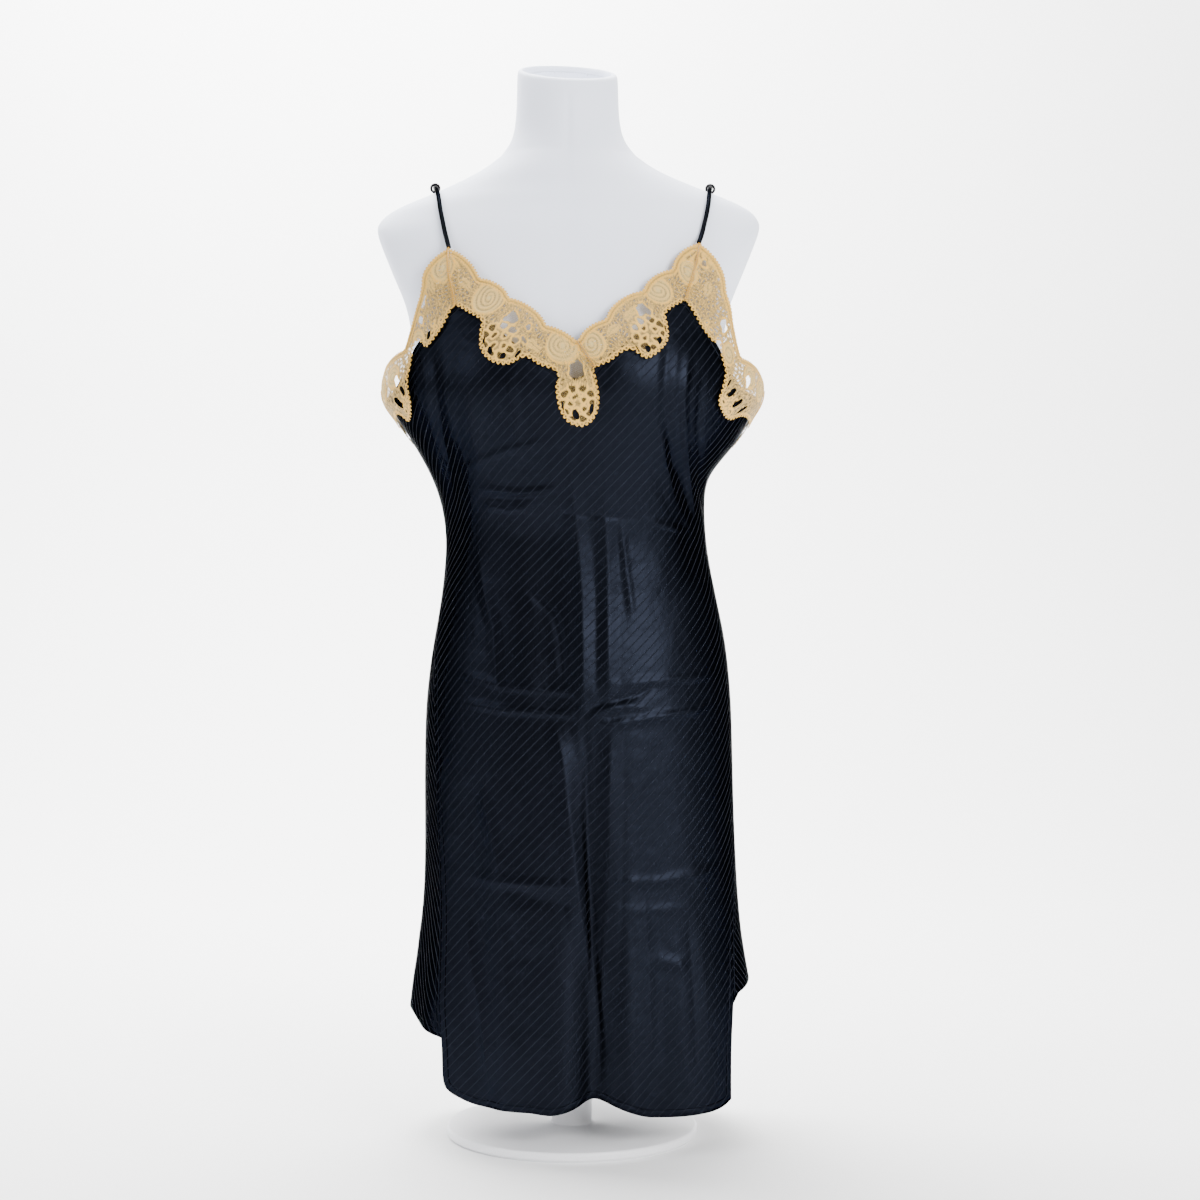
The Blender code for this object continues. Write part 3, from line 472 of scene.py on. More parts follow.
# Pressed folds in millimetres: how far each stands out (or in, if negative), how wide each side of it
# is, and its line as (x, height) points
FRONT_FOLDS = (
    (2.9, 13, ((-1, 660), (5, 600), (9, 560), (11, 517), (12, 423))),
    (2.5, 11, ((31, 640), (35, 570), (36, 464), (38, 425))),
    (4.2, 14, ((-18, 426), (-8, 381), (5, 265), (11, 216), (22, 175))),
    (-2.3, 6, ((12, 423), (15, 381), (18, 265), (21, 196), (26, 143), (28, 65))),
    (4.5, 14, ((39, 416), (37, 381), (36, 262), (33, 182), (29, 120))),
    (2.5, 4.5, ((-90, 640), (-72, 637), (-48, 634), (-10, 638))),
    (-1.9, 4, ((-88, 631), (-62, 627), (-34, 629))),
    (2.1, 4, ((-84, 623), (-60, 618), (-40, 620))),
    (-1.4, 4, ((-16, 615), (25, 612), (66, 610))),
    (1.7, 4.5, ((70, 608), (90, 604), (112, 598))),
    (1.7, 5.25, ((-108, 657), (-66, 672), (-22, 682))),
    (2.5, 5.25, ((-112, 463), (-67, 450), (-30, 446), (-2, 445), (12, 436))),
    (3.2, 5.25, ((-110, 434), (-71, 428), (-14, 424), (13, 421))),
    (3.0, 5.25, ((13, 421), (38, 413), (80, 420), (120, 425), (148, 438))),
    (-3.4, 4, ((12, 428), (26, 433), (46, 437), (67, 442), (84, 453))),
    (2.6, 4.5, ((16, 420), (34, 428), (56, 431), (78, 428))),
    (2.1, 6, ((36, 450), (62, 453), (90, 455), (127, 458), (148, 466))),
    (2.5, 6, ((-100, 268), (-83, 265), (-40, 262), (13, 260))),
    (-1.3, 9, ((-66, 259), (-34, 248), (8, 240))),
    (2.1, 6, ((37, 264), (80, 263), (127, 268), (150, 277))),
    (1.2, 6, ((26, 238), (70, 236), (120, 236))),
    (1.8, 9, ((-89, 575), (-82, 536), (-74, 506), (-70, 448), (-64, 432))),
    (-1.3, 6, ((-50, 552), (-32, 533), (-15, 517), (-9, 490), (-7, 445))),
    (1.7, 6, ((48, 606), (54, 554), (60, 508))),
    (2.2, 10, ((85, 700), (90, 665), (98, 636), (117, 596), (126, 585))),
    (-2.0, 9, ((94, 790), (90, 740), (89, 715), (96, 670), (104, 640))),
    (2.2, 6, ((113, 775), (107, 721), (110, 680), (118, 630), (124, 594))),
    (-1.7, 6, ((126, 750), (122, 700), (126, 650), (133, 606))),
    (-2.3, 10, ((-133, 775), (-128, 721), (-120, 664), (-114, 600))),
    (1.8, 12, ((-98, 740), (-92, 690), (-84, 650))),
    (1.8, 10, ((-60, 740), (-52, 700), (-50, 660))),
    (1.7, 9, ((-86, 352), (-76, 310), (-66, 265))),
    (2.6, 11, ((-98, 238), (-97, 196), (-84, 128), (-76, 62))),
    (-1.4, 10, ((-58, 235), (-52, 180), (-50, 100))),
    (1.7, 9, ((72, 190), (92, 186), (113, 180))),
    (2.1, 12, ((70, 250), (74, 180), (78, 70))),
    (-1.7, 12, ((112, 240), (118, 160), (122, 70))),
)
BACK_FOLDS = (
    (1.5, 12, ((-6, 660), (-2, 560), (2, 430))),
    (1.2, 10, ((34, 640), (30, 540), (33, 440))),
    (1.7, 8, ((-120, 430), (-60, 424), (0, 420), (60, 425), (120, 432))),
    (1.2, 8, ((-118, 262), (-50, 259), (20, 262), (110, 268))),
    (-1.2, 6, ((-90, 620), (-40, 612), (30, 611), (84, 618))),
    (1.0, 8, ((-96, 520), (-70, 470), (-64, 434))),
    (-1.0, 8, ((58, 560), (66, 500), (62, 440))),
    (1.1, 11, ((-76, 250), (-80, 170), (-86, 110))),
    (-1.0, 11, ((66, 250), (72, 170), (80, 110))),
)


def free_edges(mesh):
    """The free edges of a sheet, each as a line of points in order, the longest line first."""
    bm = bmesh.new()
    bm.from_mesh(mesh)
    waiting = dict.fromkeys(edge for edge in bm.edges if edge.is_boundary)
    lines = []
    while waiting:
        edge = next(iter(waiting))
        del waiting[edge]
        line = list(edge.verts)
        onward = [other for other in line[-1].link_edges if other in waiting]
        while onward:
            del waiting[onward[0]]
            line.append(onward[0].other_vert(line[-1]))
            onward = [other for other in line[-1].link_edges if other in waiting]
        lines.append(np.array([vertex.co for vertex in line]))
    bm.free()
    return sorted(lines, key=len, reverse=True)


def nearest_on(points, line):
    """How far each point lies from the nearest point of a line, and which one that is."""
    reach = np.empty(len(points))
    which = np.empty(len(points), int)
    for start in range(0, len(points), POINTS_AT_ONCE):
        end = start + POINTS_AT_ONCE
        some = points[start:end]
        apart = np.zeros((len(some), len(line)))
        for axis in range(3):
            apart += (some[:, axis, None] - line[None, :, axis]) ** 2
        which[start:end] = apart.argmin(axis=1)
        reach[start:end] = np.sqrt(apart.min(axis=1))
    return reach, which


def fold_rise(points, folds):
    """How far pressed folds lift each point: crests between flat sides, which die out at their ends."""
    flat = points[:, [0, 2]] * 1000
    rise = np.zeros(len(points))
    for height, side, line in folds:
        line = np.array(line, float)
        lengths = np.linalg.norm(np.diff(line, axis=0), axis=1)
        whole = lengths.sum()
        nearest = np.full(len(points), np.inf)
        along = np.zeros(len(points))
        travelled = 0.0
        for start, end, length in zip(line, line[1:], lengths):
            way = (end - start) / length
            t = np.clip((flat - start) @ way, 0, length)
            apart = np.linalg.norm(flat - start - t[:, None] * way, axis=1)
            closer = apart < nearest
            nearest = np.where(closer, apart, nearest)
            along = np.where(closer, (travelled + t) / whole, along)
            travelled += length
        crest = np.hypot(nearest, CREST_ROUND) / side
        ends = np.clip(np.minimum(along, 1 - along) * FOLD_FADE, 0, 1)
        rise += height / 1000 * np.clip(1 - crest, 0, 1) ** CREST_SHAPE * ends
    return rise


def give_attribute(mesh, name, values):
    """Stores a number at each vertex for the material to read."""
    mesh.attributes.new(name, "FLOAT", "POINT").data.foreach_set("value", np.asarray(values, np.float32))


front = refined("front_panel", "front_satin", SATIN_ROUNDING)
back = refined("back_panel", "back_satin", SATIN_ROUNDING)


def tree_of(*pieces):
    """One search tree over the faces of some pieces."""
    corners, faces = [], []
    for piece in pieces:
        start = len(corners)
        corners += [vertex.co.copy() for vertex in piece.data.vertices]
        faces += [[start + i for i in face.vertices] for face in piece.data.polygons]
    return BVHTree.FromPolygons(corners, faces)


def girth_table(tree):
    """How far round the cloth each bearing lies from the centre front, in metres, at each height."""
    rows = []
    for z in GIRTH_HEIGHTS:
        reach = []
        for bearing in GIRTH_BEARINGS:
            hit = tree.ray_cast(Vector((0, 0, z)), Vector((math.sin(bearing), -math.cos(bearing), 0)))[0]
            reach.append(math.hypot(hit.x, hit.y) if hit else np.nan)
        reach = np.array(reach)
        known = ~np.isnan(reach)
        if known.sum() < GIRTH_LEAST_HITS:
            rows.append(rows[-1] if rows else np.zeros(len(reach)))
            continue
        reach = np.interp(GIRTH_BEARINGS, GIRTH_BEARINGS[known], reach[known])
        x, y = reach * np.sin(GIRTH_BEARINGS), -reach * np.cos(GIRTH_BEARINGS)
        steps = np.hypot(np.diff(x), np.diff(y))
        round_body = np.concatenate([[0], np.cumsum(steps)])
        rows.append(round_body - round_body[len(round_body) // 2])
    return np.array(rows)


def cloth_places(points, table, behind):
    """Where each point lies on the cloth laid flat: across from the panel's middle, and its height."""
    bearing = np.arctan2(points[:, 0], -points[:, 1])
    rise = GIRTH_HEIGHTS[1] - GIRTH_HEIGHTS[0]
    row = np.clip((points[:, 2] - GIRTH_HEIGHTS[0]) / rise, 0, len(table) - 1.001)
    low = row.astype(int)
    share = row - low
    step = GIRTH_BEARINGS[1] - GIRTH_BEARINGS[0]
    column = np.clip((bearing - GIRTH_BEARINGS[0]) / step, 0, len(GIRTH_BEARINGS) - 1.001)
    left = column.astype(int)
    part = column - left
    across = np.zeros(len(points))
    whole = np.zeros(len(points))
    for i, weight in ((0, 1 - share), (1, share)):
        line = table[low + i, left] * (1 - part) + table[low + i, left + 1] * part
        across += weight * line
        whole += weight * (table[low + i, -1] - table[low + i, 0])
    if behind:
        across = np.sign(across) * whole / 2 - across
    return np.stack([across, points[:, 2]], axis=1)


def lay_out(mesh, places):
    """Stores the flat place of each vertex as the mesh's own map, in metres."""
    corners = np.empty(len(mesh.loops), np.int32)
    mesh.loops.foreach_get("vertex_index", corners)
    flat = mesh.uv_layers.new(name="cloth")
    flat.uv.foreach_set("vector", places[corners].astype(np.float32).ravel())


def turn_in(mesh, thick, width):
    """Turns a sheet's free edges to the inside, as a narrow hem that lies against the cloth."""
    bm = bmesh.new()
    bm.from_mesh(mesh)
    bm.normal_update()
    inward = {}
    for vertex in bm.verts:
        if vertex.is_boundary:
            inner = [edge for edge in vertex.link_edges if not edge.is_boundary]
            way = sum((edge.other_vert(vertex).co - vertex.co for edge in inner), Vector())
            inward[tuple(vertex.co)] = (vertex.normal.copy(), way.normalized())
    rim = [edge for edge in bm.edges if edge.is_boundary]
    for depth, along in ((thick, 0.0), (0.0, width)):
        grown = bmesh.ops.extrude_edge_only(bm, edges=rim)["geom"]
        moved = {}
        for vertex in (item for item in grown if isinstance(item, bmesh.types.BMVert)):
            normal, way = inward[tuple(vertex.co)]
            vertex.co += way * along - normal * depth
            moved[tuple(vertex.co)] = (normal, way)
        inward = moved
        rim = [item for item in grown if isinstance(item, bmesh.types.BMEdge) and item.is_boundary]
    bm.to_mesh(mesh)
    bm.free()


satin_tree = tree_of(front, back)
girths = girth_table(satin_tree)

SATIN_SHINE = (0.0062, 0.0074, 0.0113, 1)
SATIN_EDGE = (0.05, 0.05, 0.05, 1)
STRIPE_MATT = (0.0098, 0.0115, 0.0168, 1)
STRIPE_PITCH = 0.00715
STRIPE_WIDTH = 0.00085
STRIPE_EDGE = 22.0
WHOLE_STRIPES = 50.0
HEM_STITCH_FROM_EDGE = 0.0065
HEM_STITCH_WIDTH = 0.0009
SATIN_RELIEF = 0.0009
satin = Finish(
    "black_satin_stripe",
    {"Base Color": SATIN_SHINE, "Metallic": 1.0, "Specular Tint": SATIN_EDGE},
)
stripe_shader = satin.tree.nodes.new("ShaderNodeBsdfPrincipled")
satin.fill(
    stripe_shader,
    {"Base Color": STRIPE_MATT, "Roughness": 0.8, "Specular IOR Level": 0.2, "IOR": 1.15},
)
cloth = satin.node("ShaderNodeUVMap", {"uv_map": "cloth"})
split = satin.tree.nodes.new("ShaderNodeSeparateXYZ")
satin.fill(split, (cloth,))
across = Value(satin, split.outputs["X"])
up = Value(satin, split.outputs["Y"])
stripe_step = ((across - up) / (STRIPE_PITCH * math.sqrt(2)) + WHOLE_STRIPES).part()
stripe = ((STRIPE_WIDTH / STRIPE_PITCH / 2 - abs(stripe_step - 0.5)) * STRIPE_EDGE + 0.5).held()
uneven = satin.noise(cloth, 24.0, 3.0)
weave = satin.noise(cloth, 1600.0, 1.0)
edge = satin.node("ShaderNodeAttribute", {"attribute_name": "edge"}, output=2)
hem_stitch = (1.0 - abs(edge - HEM_STITCH_FROM_EDGE) / HEM_STITCH_WIDTH).held()
crumple = satin.noise(cloth, 75.0, 4.0)
relief = weave * 0.04 + uneven * 2.6 + crumple * 0.8 - stripe * 0.2 - hem_stitch * 0.7
normal = satin.bump(relief, SATIN_RELIEF, 0.85)
satin.fill(satin.shader, {"Normal": normal, "Roughness": uneven * 0.12 + 0.36})
satin.fill(stripe_shader, {"Normal": normal})
mixed = satin.node(
    "ShaderNodeMixShader",
    {},
    {0: stripe, 1: Value(satin, satin.shader.outputs[0]), 2: Value(satin, stripe_shader.outputs[0])},
)
satin.fill(satin.tree.nodes["Material Output"], {"Surface": mixed})

for panel, node, folds, behind in (
    (front, "front_panel", FRONT_FOLDS, False),
    (back, "back_panel", BACK_FOLDS, True),
):
    mesh = panel.data
    points = rows_of(mesh, mesh.vertices, "co")
    facing = rows_of(mesh, mesh.vertex_normals, "vector")
    lay_out(mesh, cloth_places(points, girths, behind))
    rim = nearest_on(points, np.concatenate(free_edges(mesh)))[0]
    give_attribute(mesh, "edge", rim)
    rise = fold_rise(points, folds) * np.clip(rim / FOLD_KEPT_FROM_EDGE, 0, 1)
    mesh.vertices.foreach_set("co", (points + facing * rise[:, None]).astype(np.float32).ravel())
    turn_in(mesh, SATIN_THICK, HEM_WIDTH)
    finish_piece(panel, satin.material, "black_satin", node)


# The lace: gold galloon machine lace on a fine net. A stout cord with picots follows the neckline
# and armholes, roses and leaves fill the band, and florets of small loops hang over the satin.
LACE_ROUNDING = 3
# Each band's node, and its flat length, width and area in metres
LACE_CUTS = (
    ("lace_neck_left", 0.190, 0.074, 0.0096),
    ("lace_neck_right", 0.160, 0.060, 0.0066),
    ("lace_arm_left", 0.170, 0.075, 0.0090),
    ("lace_arm_right", 0.170, 0.080, 0.0101),
    ("lace_back", 0.460, 0.066, 0.0278),
)
LACE_LIFT = 0.001
CORD_BAND = 0.0075
CORD_FADE = 0.0012
CORD_TWIST = 3.1
CORD_GROOVE = 0.004
PICOT_PITCH = 0.0034
PICOT_DEPTH = 0.0017
LOOP_PITCH = 0.0051
LOOP_DEPTH = 0.0026
LOOP_MIDDLE = 0.0027
LOOP_RADIUS = 0.0020
LOOP_THREAD = 0.0007
LOOP_BAND = 0.0050
LOOP_FADE = 0.0008
MITRE_GAP = 0.0022
OVER_SATIN = 0.006

# Roses in millimetres: middle, half width and half height
ROSES = (
    (-122, 850, 10, 14),
    (-77, 818, 16, 16),
    (-7, 770, 16, 16),
    (20, 772, 13, 13),
    (83, 826, 13, 13),
    (112, 845, 9, 12),
    (-146, 780, 8, 11),
    (151, 768, 8, 11),
)
# Florets in millimetres: middle, radius, and number of petal loops
FLORETS = (
    (-67, 776, 20, 9),
    (7, 716, 20, 10),
    (75, 783, 19, 9),
    (152, 722, 12, 6),
    (-158, 722, 12, 6),
    (-126, 792, 11, 5),
    (128, 790, 10, 5),
)
# Patches of bare net in millimetres: middle, half width, half height and lean in degrees
PATCHES = (
    (-56, 797, 7, 8, -30),
    (6, 747, 7.5, 10, 0),
    (69, 805, 7, 8, 30),
    (147, 796, 4, 8, 10),
    (-143, 820, 4, 8, -10),
    (-144, 801, 3.5, 5, 0),
    (-168, 743, 4.5, 7, 15),
    (171, 744, 4.5, 7, -15),
    (-39, 789, 3, 4, 0),
    (-43, 776, 2.5, 4, 20),
    (128, 855, 3, 4, 0),
)
# Leaves in millimetres: middle, half length, half width and lean in degrees
LEAVES = (
    (-35, 771, 11, 4.5, -35),
    (57, 802, 11, 4.5, 35),
    (131, 830, 10, 4, 70),
    (-100, 833, 10, 4, -40),
    (-135, 835, 10, 4, -70),
    (40, 786, 10, 4, 40),
)
# Where the band is trimmed in beside a lobe, in millimetres, listed as a patch is
TRIMS = ((-19, 740, 7, 8, 0), (-47, 751, 4, 5, 0))
# The strap peaks in millimetres, from where gathers run down into the band
PEAKS = ((-118, 871), (125, 876))
GATHER_REACH = 30
GATHER_FADE = 12
GATHERS_ROUND = 24
PETAL_PITCH = 4.2
WANDER = 0.8
# Roses by the side seams, which the front view doesn't show, measured round the cloth in millimetres
SIDE_ROSES = [(side * across, z, 11, 11) for side in (-1, 1) for across, z in ((196, 748), (224, 738))]
FIGURE_REACH = 12
BACK_ROSE_STEP = 46
BACK_ROSE_RADIUS = 12
BACK_LEAF = (9, 4)
BACK_LEAF_LEAN = 60


def bump_at(distance, middle, half_width):
    """A soft ridge across a distance, 1 at its middle."""
    return np.exp(-(((distance - middle) / half_width) ** 2))


def turned_offsets(flat, x, z, lean):
    """How far points lie from a middle, along and across a leaning line."""
    dx, dz = flat[:, 0] - x, flat[:, 1] - z
    lean = math.radians(lean)
    return dx * math.cos(lean) + dz * math.sin(lean), dz * math.cos(lean) - dx * math.sin(lean)


def on_cloth(figures, seen, flat):
    """The figures that lie on a band, each moved from its place in the front view to the cloth."""
    moved = []
    for x, z, *rest in figures:
        apart = np.hypot(seen[:, 0] - x, seen[:, 1] - z)
        nearest = apart.argmin()
        if apart[nearest] < FIGURE_REACH:
            shift = flat[nearest] - seen[nearest]
            moved.append((x + shift[0], z + shift[1], *rest))
    return moved


def laid_over(layers, share, over, outline=(0, 0, 0)):
    """The work, gold and relief with a figure's own laid over them by a share, and its outline added."""
    return [old * (1 - share) + share * new + line for old, new, line in zip(layers, over, outline)]


def veined(flat):
    """Veins and stems that wander over a whole band: how thick the work is, its gold and its relief."""
    veins = np.sin(flat[:, 0] * 0.9 + 2 * np.sin(flat[:, 1] * 0.35))
    veins = veins * np.sin(flat[:, 1] * 0.8 + 2 * np.sin(flat[:, 0] * 0.3))
    stems = bump_at(veins, 0, 0.16)
    work = 0.72 + 0.16 * veins + 0.3 * stems
    gold = 0.25 + 0.15 * veins + 0.45 * stems
    relief = 0.10 + 0.12 * veins + 0.45 * stems
    return [work, gold, relief]


def gathers(layers, flat, x, z):
    """Small pleats that run down from a strap's peak."""
    away = np.hypot(flat[:, 0] - x, flat[:, 1] - z)
    pleat = 0.5 + 0.5 * np.cos(np.arctan2(flat[:, 0] - x, z - flat[:, 1]) * GATHERS_ROUND)
    share = np.clip((GATHER_REACH - away) / GATHER_FADE, 0, 1)
    return laid_over(layers, share, (0.75 + 0.3 * pleat, 0.3 + 0.6 * pleat, 0.75 * pleat))


def rose(layers, flat, x, z, half_width, half_height):
    """A rose: petals wound round its heart, inside a corded outline."""
    dx, dz = (flat[:, 0] - x) / half_width, (flat[:, 1] - z) / half_height
    q = np.hypot(dx, dz)
    size = (half_width + half_height) / 2
    turn = np.arctan2(dz, dx)
    petals = 0.5 + 0.5 * np.cos(2 * math.pi * q * size / PETAL_PITCH + turn + 1.1 * np.sin(2 * turn + x))
    petals = np.clip(petals * 1.5 - 0.25, 0, 1) * (0.8 + 0.2 * np.sin(3 * turn + 7 * q + z))
    inside = np.clip((1 - q) * size / 1.2, 0, 1)
    cord = bump_at(q * size, size, 0.9)
    heart = bump_at(q * size, 0, 1.8)
    over = (0.82 + 0.2 * petals, 0.15 + 0.3 * petals, 0.24 + 0.55 * petals)
    return laid_over(layers, inside, over, (cord, 0.5 * (cord - heart), 0.5 * (cord + heart)))


def leaf(layers, flat, x, z, half_length, half_width, lean):
    """A solid leaf with a sunk middle vein and side veins."""
    along, aside = turned_offsets(flat, x, z, lean)
    q = np.hypot(along / half_length, aside / half_width)
    inside = np.clip((1 - q) * half_width, 0, 1)
    vein = bump_at(aside, 0, 0.5) + 0.5 * bump_at(np.abs(along - np.abs(aside)) % 3.0, 0, 0.5)
    work = np.maximum(layers[0], inside)
    return [work, *laid_over(layers[1:], inside, (0.55 - 0.3 * vein, 0.5 - 0.3 * vein))]


def bare_patch(layers, flat, x, z, half_width, half_height, lean):
    """A patch of bare net inside a cord."""
    along, aside = turned_offsets(flat, x, z, lean)
    q = np.hypot(along / half_width, aside / half_height)
    size = (half_width + half_height) / 2
    inside = np.clip((1 - q) * size / 0.8, 0, 1)
    cord = bump_at(q * size, size, 0.8)
    return laid_over(layers, inside, (0, 0, 0), (cord, 0.7 * cord, 0.5 * cord))


def floret(layers, flat, x, z, radius, petals):
    """A floret: an outer and an inner ring of loops round small holes."""
    loops = np.zeros(len(flat))
    hollow = np.zeros(len(flat))
    for ring, count, size in ((0.74, petals, 0.23), (0.36, max(3, petals // 2), 0.17)):
        for k in range(count):
            angle = 2 * math.pi * (k + 0.5 * (ring < 0.5)) / count
            px, pz = x + ring * radius * math.cos(angle), z + ring * radius * math.sin(angle)
            apart = np.hypot(flat[:, 0] - px, flat[:, 1] - pz)
            loops = np.maximum(loops, bump_at(apart, size * radius, 0.85))
            hollow = np.maximum(hollow, np.clip((size * radius - 0.9 - apart) / 0.6, 0, 1))
    inside = np.clip(radius - np.hypot(flat[:, 0] - x, flat[:, 1] - z), 0, 1)
    return laid_over(layers, inside, (0.75 - 0.5 * hollow + loops, 0.35 + 0.55 * loops, 0.1 + 0.75 * loops))


def lace_figures(flat, roses, florets, patches, leaves, peaks):
    """Thickness of the work, gold in it and its relief, at points given in millimetres."""
    sway = np.sin(flat[:, 1] * 0.62 + 3 * np.sin(flat[:, 0] * 0.11)), np.sin(flat[:, 0] * 0.57)
    swayed = flat + WANDER * np.stack(sway, axis=1)
    layers = veined(swayed)
    for draw, figures, places in (
        (gathers, peaks, swayed),
        (rose, roses, flat),
        (leaf, leaves, swayed),
        (bare_patch, patches, swayed),
        (floret, florets, swayed),
    ):
        for figure in figures:
            layers = draw(layers, places, *figure)
    return layers


def band_figures(points, places, outline, behind):
    """The figures worked into one band, at each of its points."""
    flat = places * 1000
    if behind:
        middle = 1000 * outline[:, 2].mean()
        roses = [(BACK_ROSE_STEP * k, middle, BACK_ROSE_RADIUS, BACK_ROSE_RADIUS) for k in range(-4, 5)]
        leaves = [
            (BACK_ROSE_STEP * (k + 0.5), middle, *BACK_LEAF, BACK_LEAF_LEAN * (-1) ** k) for k in range(-4, 4)
        ]
        return lace_figures(flat, roses, (), (), leaves, ())
    seen = points[:, [0, 2]] * 1000
    placed = [on_cloth(figures, seen, flat) for figures in (ROSES, FLORETS, PATCHES, LEAVES, PEAKS)]
    placed[0] += SIDE_ROSES
    return lace_figures(flat, *placed)


def trimmed_reach(points, reach):
    """How far points lie inside a band's edge, also where it is trimmed in beside a lobe."""
    for x, z, half_width, half_height, lean in TRIMS:
        along, aside = turned_offsets(points[:, [0, 2]] * 1000, x, z, lean)
        size = (half_width + half_height) / 2000
        reach = np.minimum(reach, (np.hypot(along / half_width, aside / half_height) - 1) * size)
    return reach


def corded(layers, from_edge, along):
    """A stout cord of two twisted ridges along the edges that aren't sewn down."""
    twist = np.sin(along * 1000 * 2 * math.pi / CORD_TWIST + math.pi * (from_edge > CORD_GROOVE))
    share = np.clip((CORD_BAND - from_edge) / CORD_FADE, 0, 1)
    ridges = bump_at(from_edge, 0.0020, 0.0011) + 0.8 * bump_at(from_edge, 0.0060, 0.0010)
    return laid_over(layers, share, (1, 0.8 + 0.2 * twist, 0.15 + 0.75 * ridges + 0.3 * twist * ridges))


def looped(layers, hanging, from_edge, count):
    """Small loops along the edges that hang over the satin."""
    loop_x = (count % 1 - 0.5) * LOOP_PITCH
    loop = bump_at(np.hypot(loop_x, from_edge - LOOP_MIDDLE), LOOP_RADIUS, LOOP_THREAD)
    share = hanging * np.clip((LOOP_BAND - from_edge) / LOOP_FADE, 0, 1)
    return laid_over(layers, share, (0.55 + loop, 0.45 + 0.5 * loop, 0.1 + 0.8 * loop))


NET_PITCH = 0.0012
NET_SLOPE = 0.58
NET_THREAD = 0.88
CREAM_THREAD = (0.60, 0.44, 0.17, 1)
GOLD_THREAD = (0.80, 0.44, 0.055, 1)
# The dark brown painted into the lace's low parts as shade between the threads.
PAINTED_SHADE_BROWN = (0.11, 0.062, 0.014, 1)
LACE_RELIEF = 0.0008
lace = Finish("gold_lace", {"Roughness": 0.72, "Sheen Weight": 0.12, "Specular IOR Level": 0.3})
laid = lace.node("ShaderNodeUVMap", {"uv_map": "cloth"})
split = lace.tree.nodes.new("ShaderNodeSeparateXYZ")
lace.fill(split, (laid,))
across = Value(lace, split.outputs["X"])
up = Value(lace, split.outputs["Y"])
one_way = abs(((across + up * NET_SLOPE) * (math.pi / NET_PITCH)).wave())
other_way = abs(((across - up * NET_SLOPE) * (math.pi / NET_PITCH)).wave())
net = ((one_way.most(other_way) - NET_THREAD) * 9.0).held()
work, relief_for_painted_shade, gold, rim, along = (
    lace.node("ShaderNodeAttribute", {"attribute_name": name}, output=2)
    for name in ("work", "relief_for_painted_shade", "gold", "rim", "along")
)
frayed = lace.noise(laid, 330.0, 2.0)
picot = (rim + abs((along * math.pi).wave()) + frayed * 0.8 - 1.3) * 4.0
thread = lace.noise(laid, 900.0, 2.0)
solid = (work * 1.7 - 0.55 + thread * 0.4).held()
# Painted shade and light: the thread colour runs down to dark brown where the lace's relief is low, between
# and round the threads, and stays bright on the raised threads.
lit = (relief_for_painted_shade * 1.5 + thread * 1.3 - 0.86).held()
colour = lace.blend((gold + thread * 0.4 - 0.2).held(), CREAM_THREAD, GOLD_THREAD)
lace.fill(
    lace.shader,
    {
        "Base Color": lace.blend(lit, PAINTED_SHADE_BROWN, colour),
        "Alpha": solid.most(net * 0.7) * picot.held(),
        "Normal": lace.bump(thread * 0.8 + net * 0.3, LACE_RELIEF, 0.9),
    },
)

bands = {node: refined(node, node + "_work", LACE_ROUNDING) for node, *_ in LACE_CUTS}
outlines = {node: free_edges(band.data)[0] for node, band in bands.items()}
for node, flat_length, flat_width, flat_area in LACE_CUTS:
    band = bands[node]
    mesh = band.data
    points = rows_of(mesh, mesh.vertices, "co")
    facing = rows_of(mesh, mesh.vertex_normals, "vector")
    behind = node == "lace_back"
    places = cloth_places(points, girths, behind)
    lay_out(mesh, places)

    outline = outlines[node]
    others = np.concatenate([line for other, line in outlines.items() if other != node])
    sewn = nearest_on(outline, others)[0] < MITRE_GAP
    over = np.array([satin_tree.find_nearest(Vector(place), OVER_SATIN)[0] is not None for place in outline])
    reach, at = nearest_on(points, outline)
    steps = np.linalg.norm(np.diff(outline, axis=0), axis=1)
    along = np.concatenate([[0], np.cumsum(steps)])[at]
    hanging = (over & ~sewn)[at]
    count = along / np.where(hanging, LOOP_PITCH, PICOT_PITCH)
    depth = np.where(hanging, LOOP_DEPTH, PICOT_DEPTH)
    inside = reach if behind else trimmed_reach(points, reach)

    layers = band_figures(points, places, outline, behind)
    layers = corded(layers, nearest_on(points, outline[~over & ~sewn])[0], along)
    work, gold, relief = looped(layers, hanging, nearest_on(points, outline[over])[0], count)
    give_attribute(mesh, "along", count)
    give_attribute(mesh, "rim", np.where(sewn[at], 1.0, inside / depth))
    give_attribute(mesh, "work", work)
    give_attribute(mesh, "gold", gold)
    # The lace's relief, kept for the painted shade in its colour.
    give_attribute(mesh, "relief_for_painted_shade", 0.25 + relief)
    lifted = points + facing * (LACE_LIFT * relief)[:, None]
    mesh.vertices.foreach_set("co", lifted.astype(np.float32).ravel())
    finish_piece(band, lace.material, "gold_lace", node)


# The mitres: where two bands of lace meet, a gold thread is whipped over both their edges.
WHIP_THICK = 0.0013
WHIP_HALF_WIDTH = 0.0021
WHIP_STEP = 0.0010
WHIP_LIFT = 0.0011


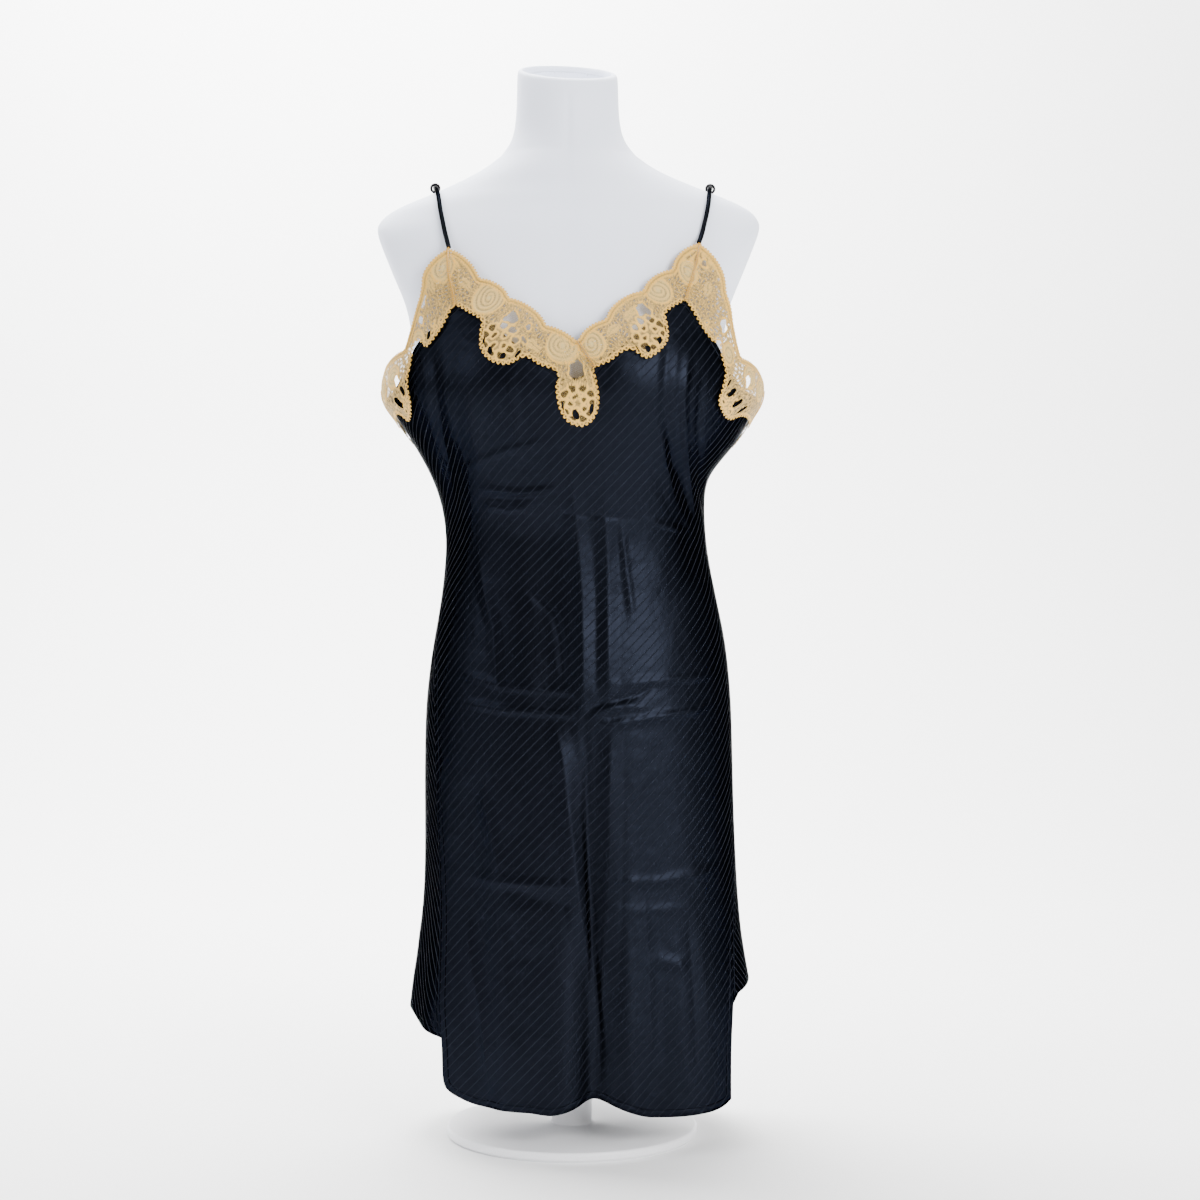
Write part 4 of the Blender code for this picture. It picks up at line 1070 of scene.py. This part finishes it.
def whipped_mitre(name, first, second, owner):
    """A zigzag thread over the line where two bands' edges lie close together."""
    reach, which = nearest_on(first, second)
    near = reach < MITRE_GAP
    middles = (first[near] + second[which[near]]) / 2
    middles = middles[np.argsort(middles[:, 2])]
    heights = np.arange(middles[0, 2], middles[-1, 2], WHIP_STEP)
    x, y = (np.interp(heights, middles[:, 2], middles[:, axis]) for axis in (0, 1))
    line = np.stack([x, y, heights], axis=1)
    runs = np.gradient(line, axis=0)
    out = np.stack([line[:, 0], line[:, 1], np.zeros(len(line))], axis=1)
    out /= np.linalg.norm(out, axis=1)[:, None]
    aside = np.cross(runs, out)
    aside /= np.linalg.norm(aside, axis=1)[:, None]
    swing = np.where(np.arange(len(line)) % 2, 1.0, -1.0)[:, None]
    path = line + out * WHIP_LIFT + aside * swing * WHIP_HALF_WIDTH
    thread_piece(name, [path], WHIP_THICK, whip.material, "gold_lace", owner)


whip = Finish("gold_thread", {"Base Color": (0.66, 0.36, 0.055, 1), "Roughness": 0.7})
ply = whip.noise(whip.place(), 1200.0, 1.0)
whip.fill(whip.shader, {"Normal": whip.bump(ply, 0.0003, 0.6)})
for first, second in (
    ("lace_neck_left", "lace_arm_left"),
    ("lace_neck_right", "lace_arm_right"),
    ("lace_neck_left", "lace_neck_right"),
    ("lace_arm_left", "lace_back"),
    ("lace_arm_right", "lace_back"),
):
    whipped_mitre(f"mitre_{first}_{second}", outlines[first], outlines[second], first)


# The straps: narrow tubes of the same black satin, turned through and pressed, with a ring slider
# of enamelled metal threaded on each where it crosses the shoulder.
STRAP_ROUNDING = 2
STRAP_SHINE = (0.012, 0.013, 0.016, 1)
ENAMEL_SHINE = (0.020, 0.020, 0.022, 1)
STRAP_SWELL = 0.00015
RING_SWELL = 0.0003
tubing = Finish("strap_satin", {"Base Color": STRAP_SHINE, "Metallic": 1.0, "Specular Tint": SATIN_EDGE})
puckers = tubing.noise(tubing.place(), 260.0, 2.0)
tubing.fill(tubing.shader, {"Roughness": puckers * 0.15 + 0.35, "Normal": tubing.bump(puckers, 0.0006, 0.6)})
enamel = Finish(
    "black_enamel",
    {"Base Color": ENAMEL_SHINE, "Roughness": 0.3, "Metallic": 1.0, "Specular Tint": SATIN_EDGE},
)
speck = enamel.noise(enamel.place(), 900.0, 1.0)
enamel.fill(enamel.shader, {"Normal": enamel.bump(speck, 0.0002, 0.15)})


def swollen(piece, lift):
    """Moves a piece's skin out, by what rounding its corners took off."""
    mesh = piece.data
    skin = rows_of(mesh, mesh.vertices, "co") + lift * rows_of(mesh, mesh.vertex_normals, "vector")
    mesh.vertices.foreach_set("co", skin.astype(np.float32).ravel())


for side in ("left", "right"):
    strap = refined("strap_" + side, "strap_tube_" + side, STRAP_ROUNDING, wall=False)
    swollen(strap, STRAP_SWELL)
    finish_piece(strap, tubing.material, "black_satin", "strap_" + side)
    ring = refined("slider_" + side, "slider_ring_" + side, STRAP_ROUNDING, wall=False)
    swollen(ring, RING_SWELL)
    finish_piece(ring, enamel.material, "black_enamel", "slider_" + side)
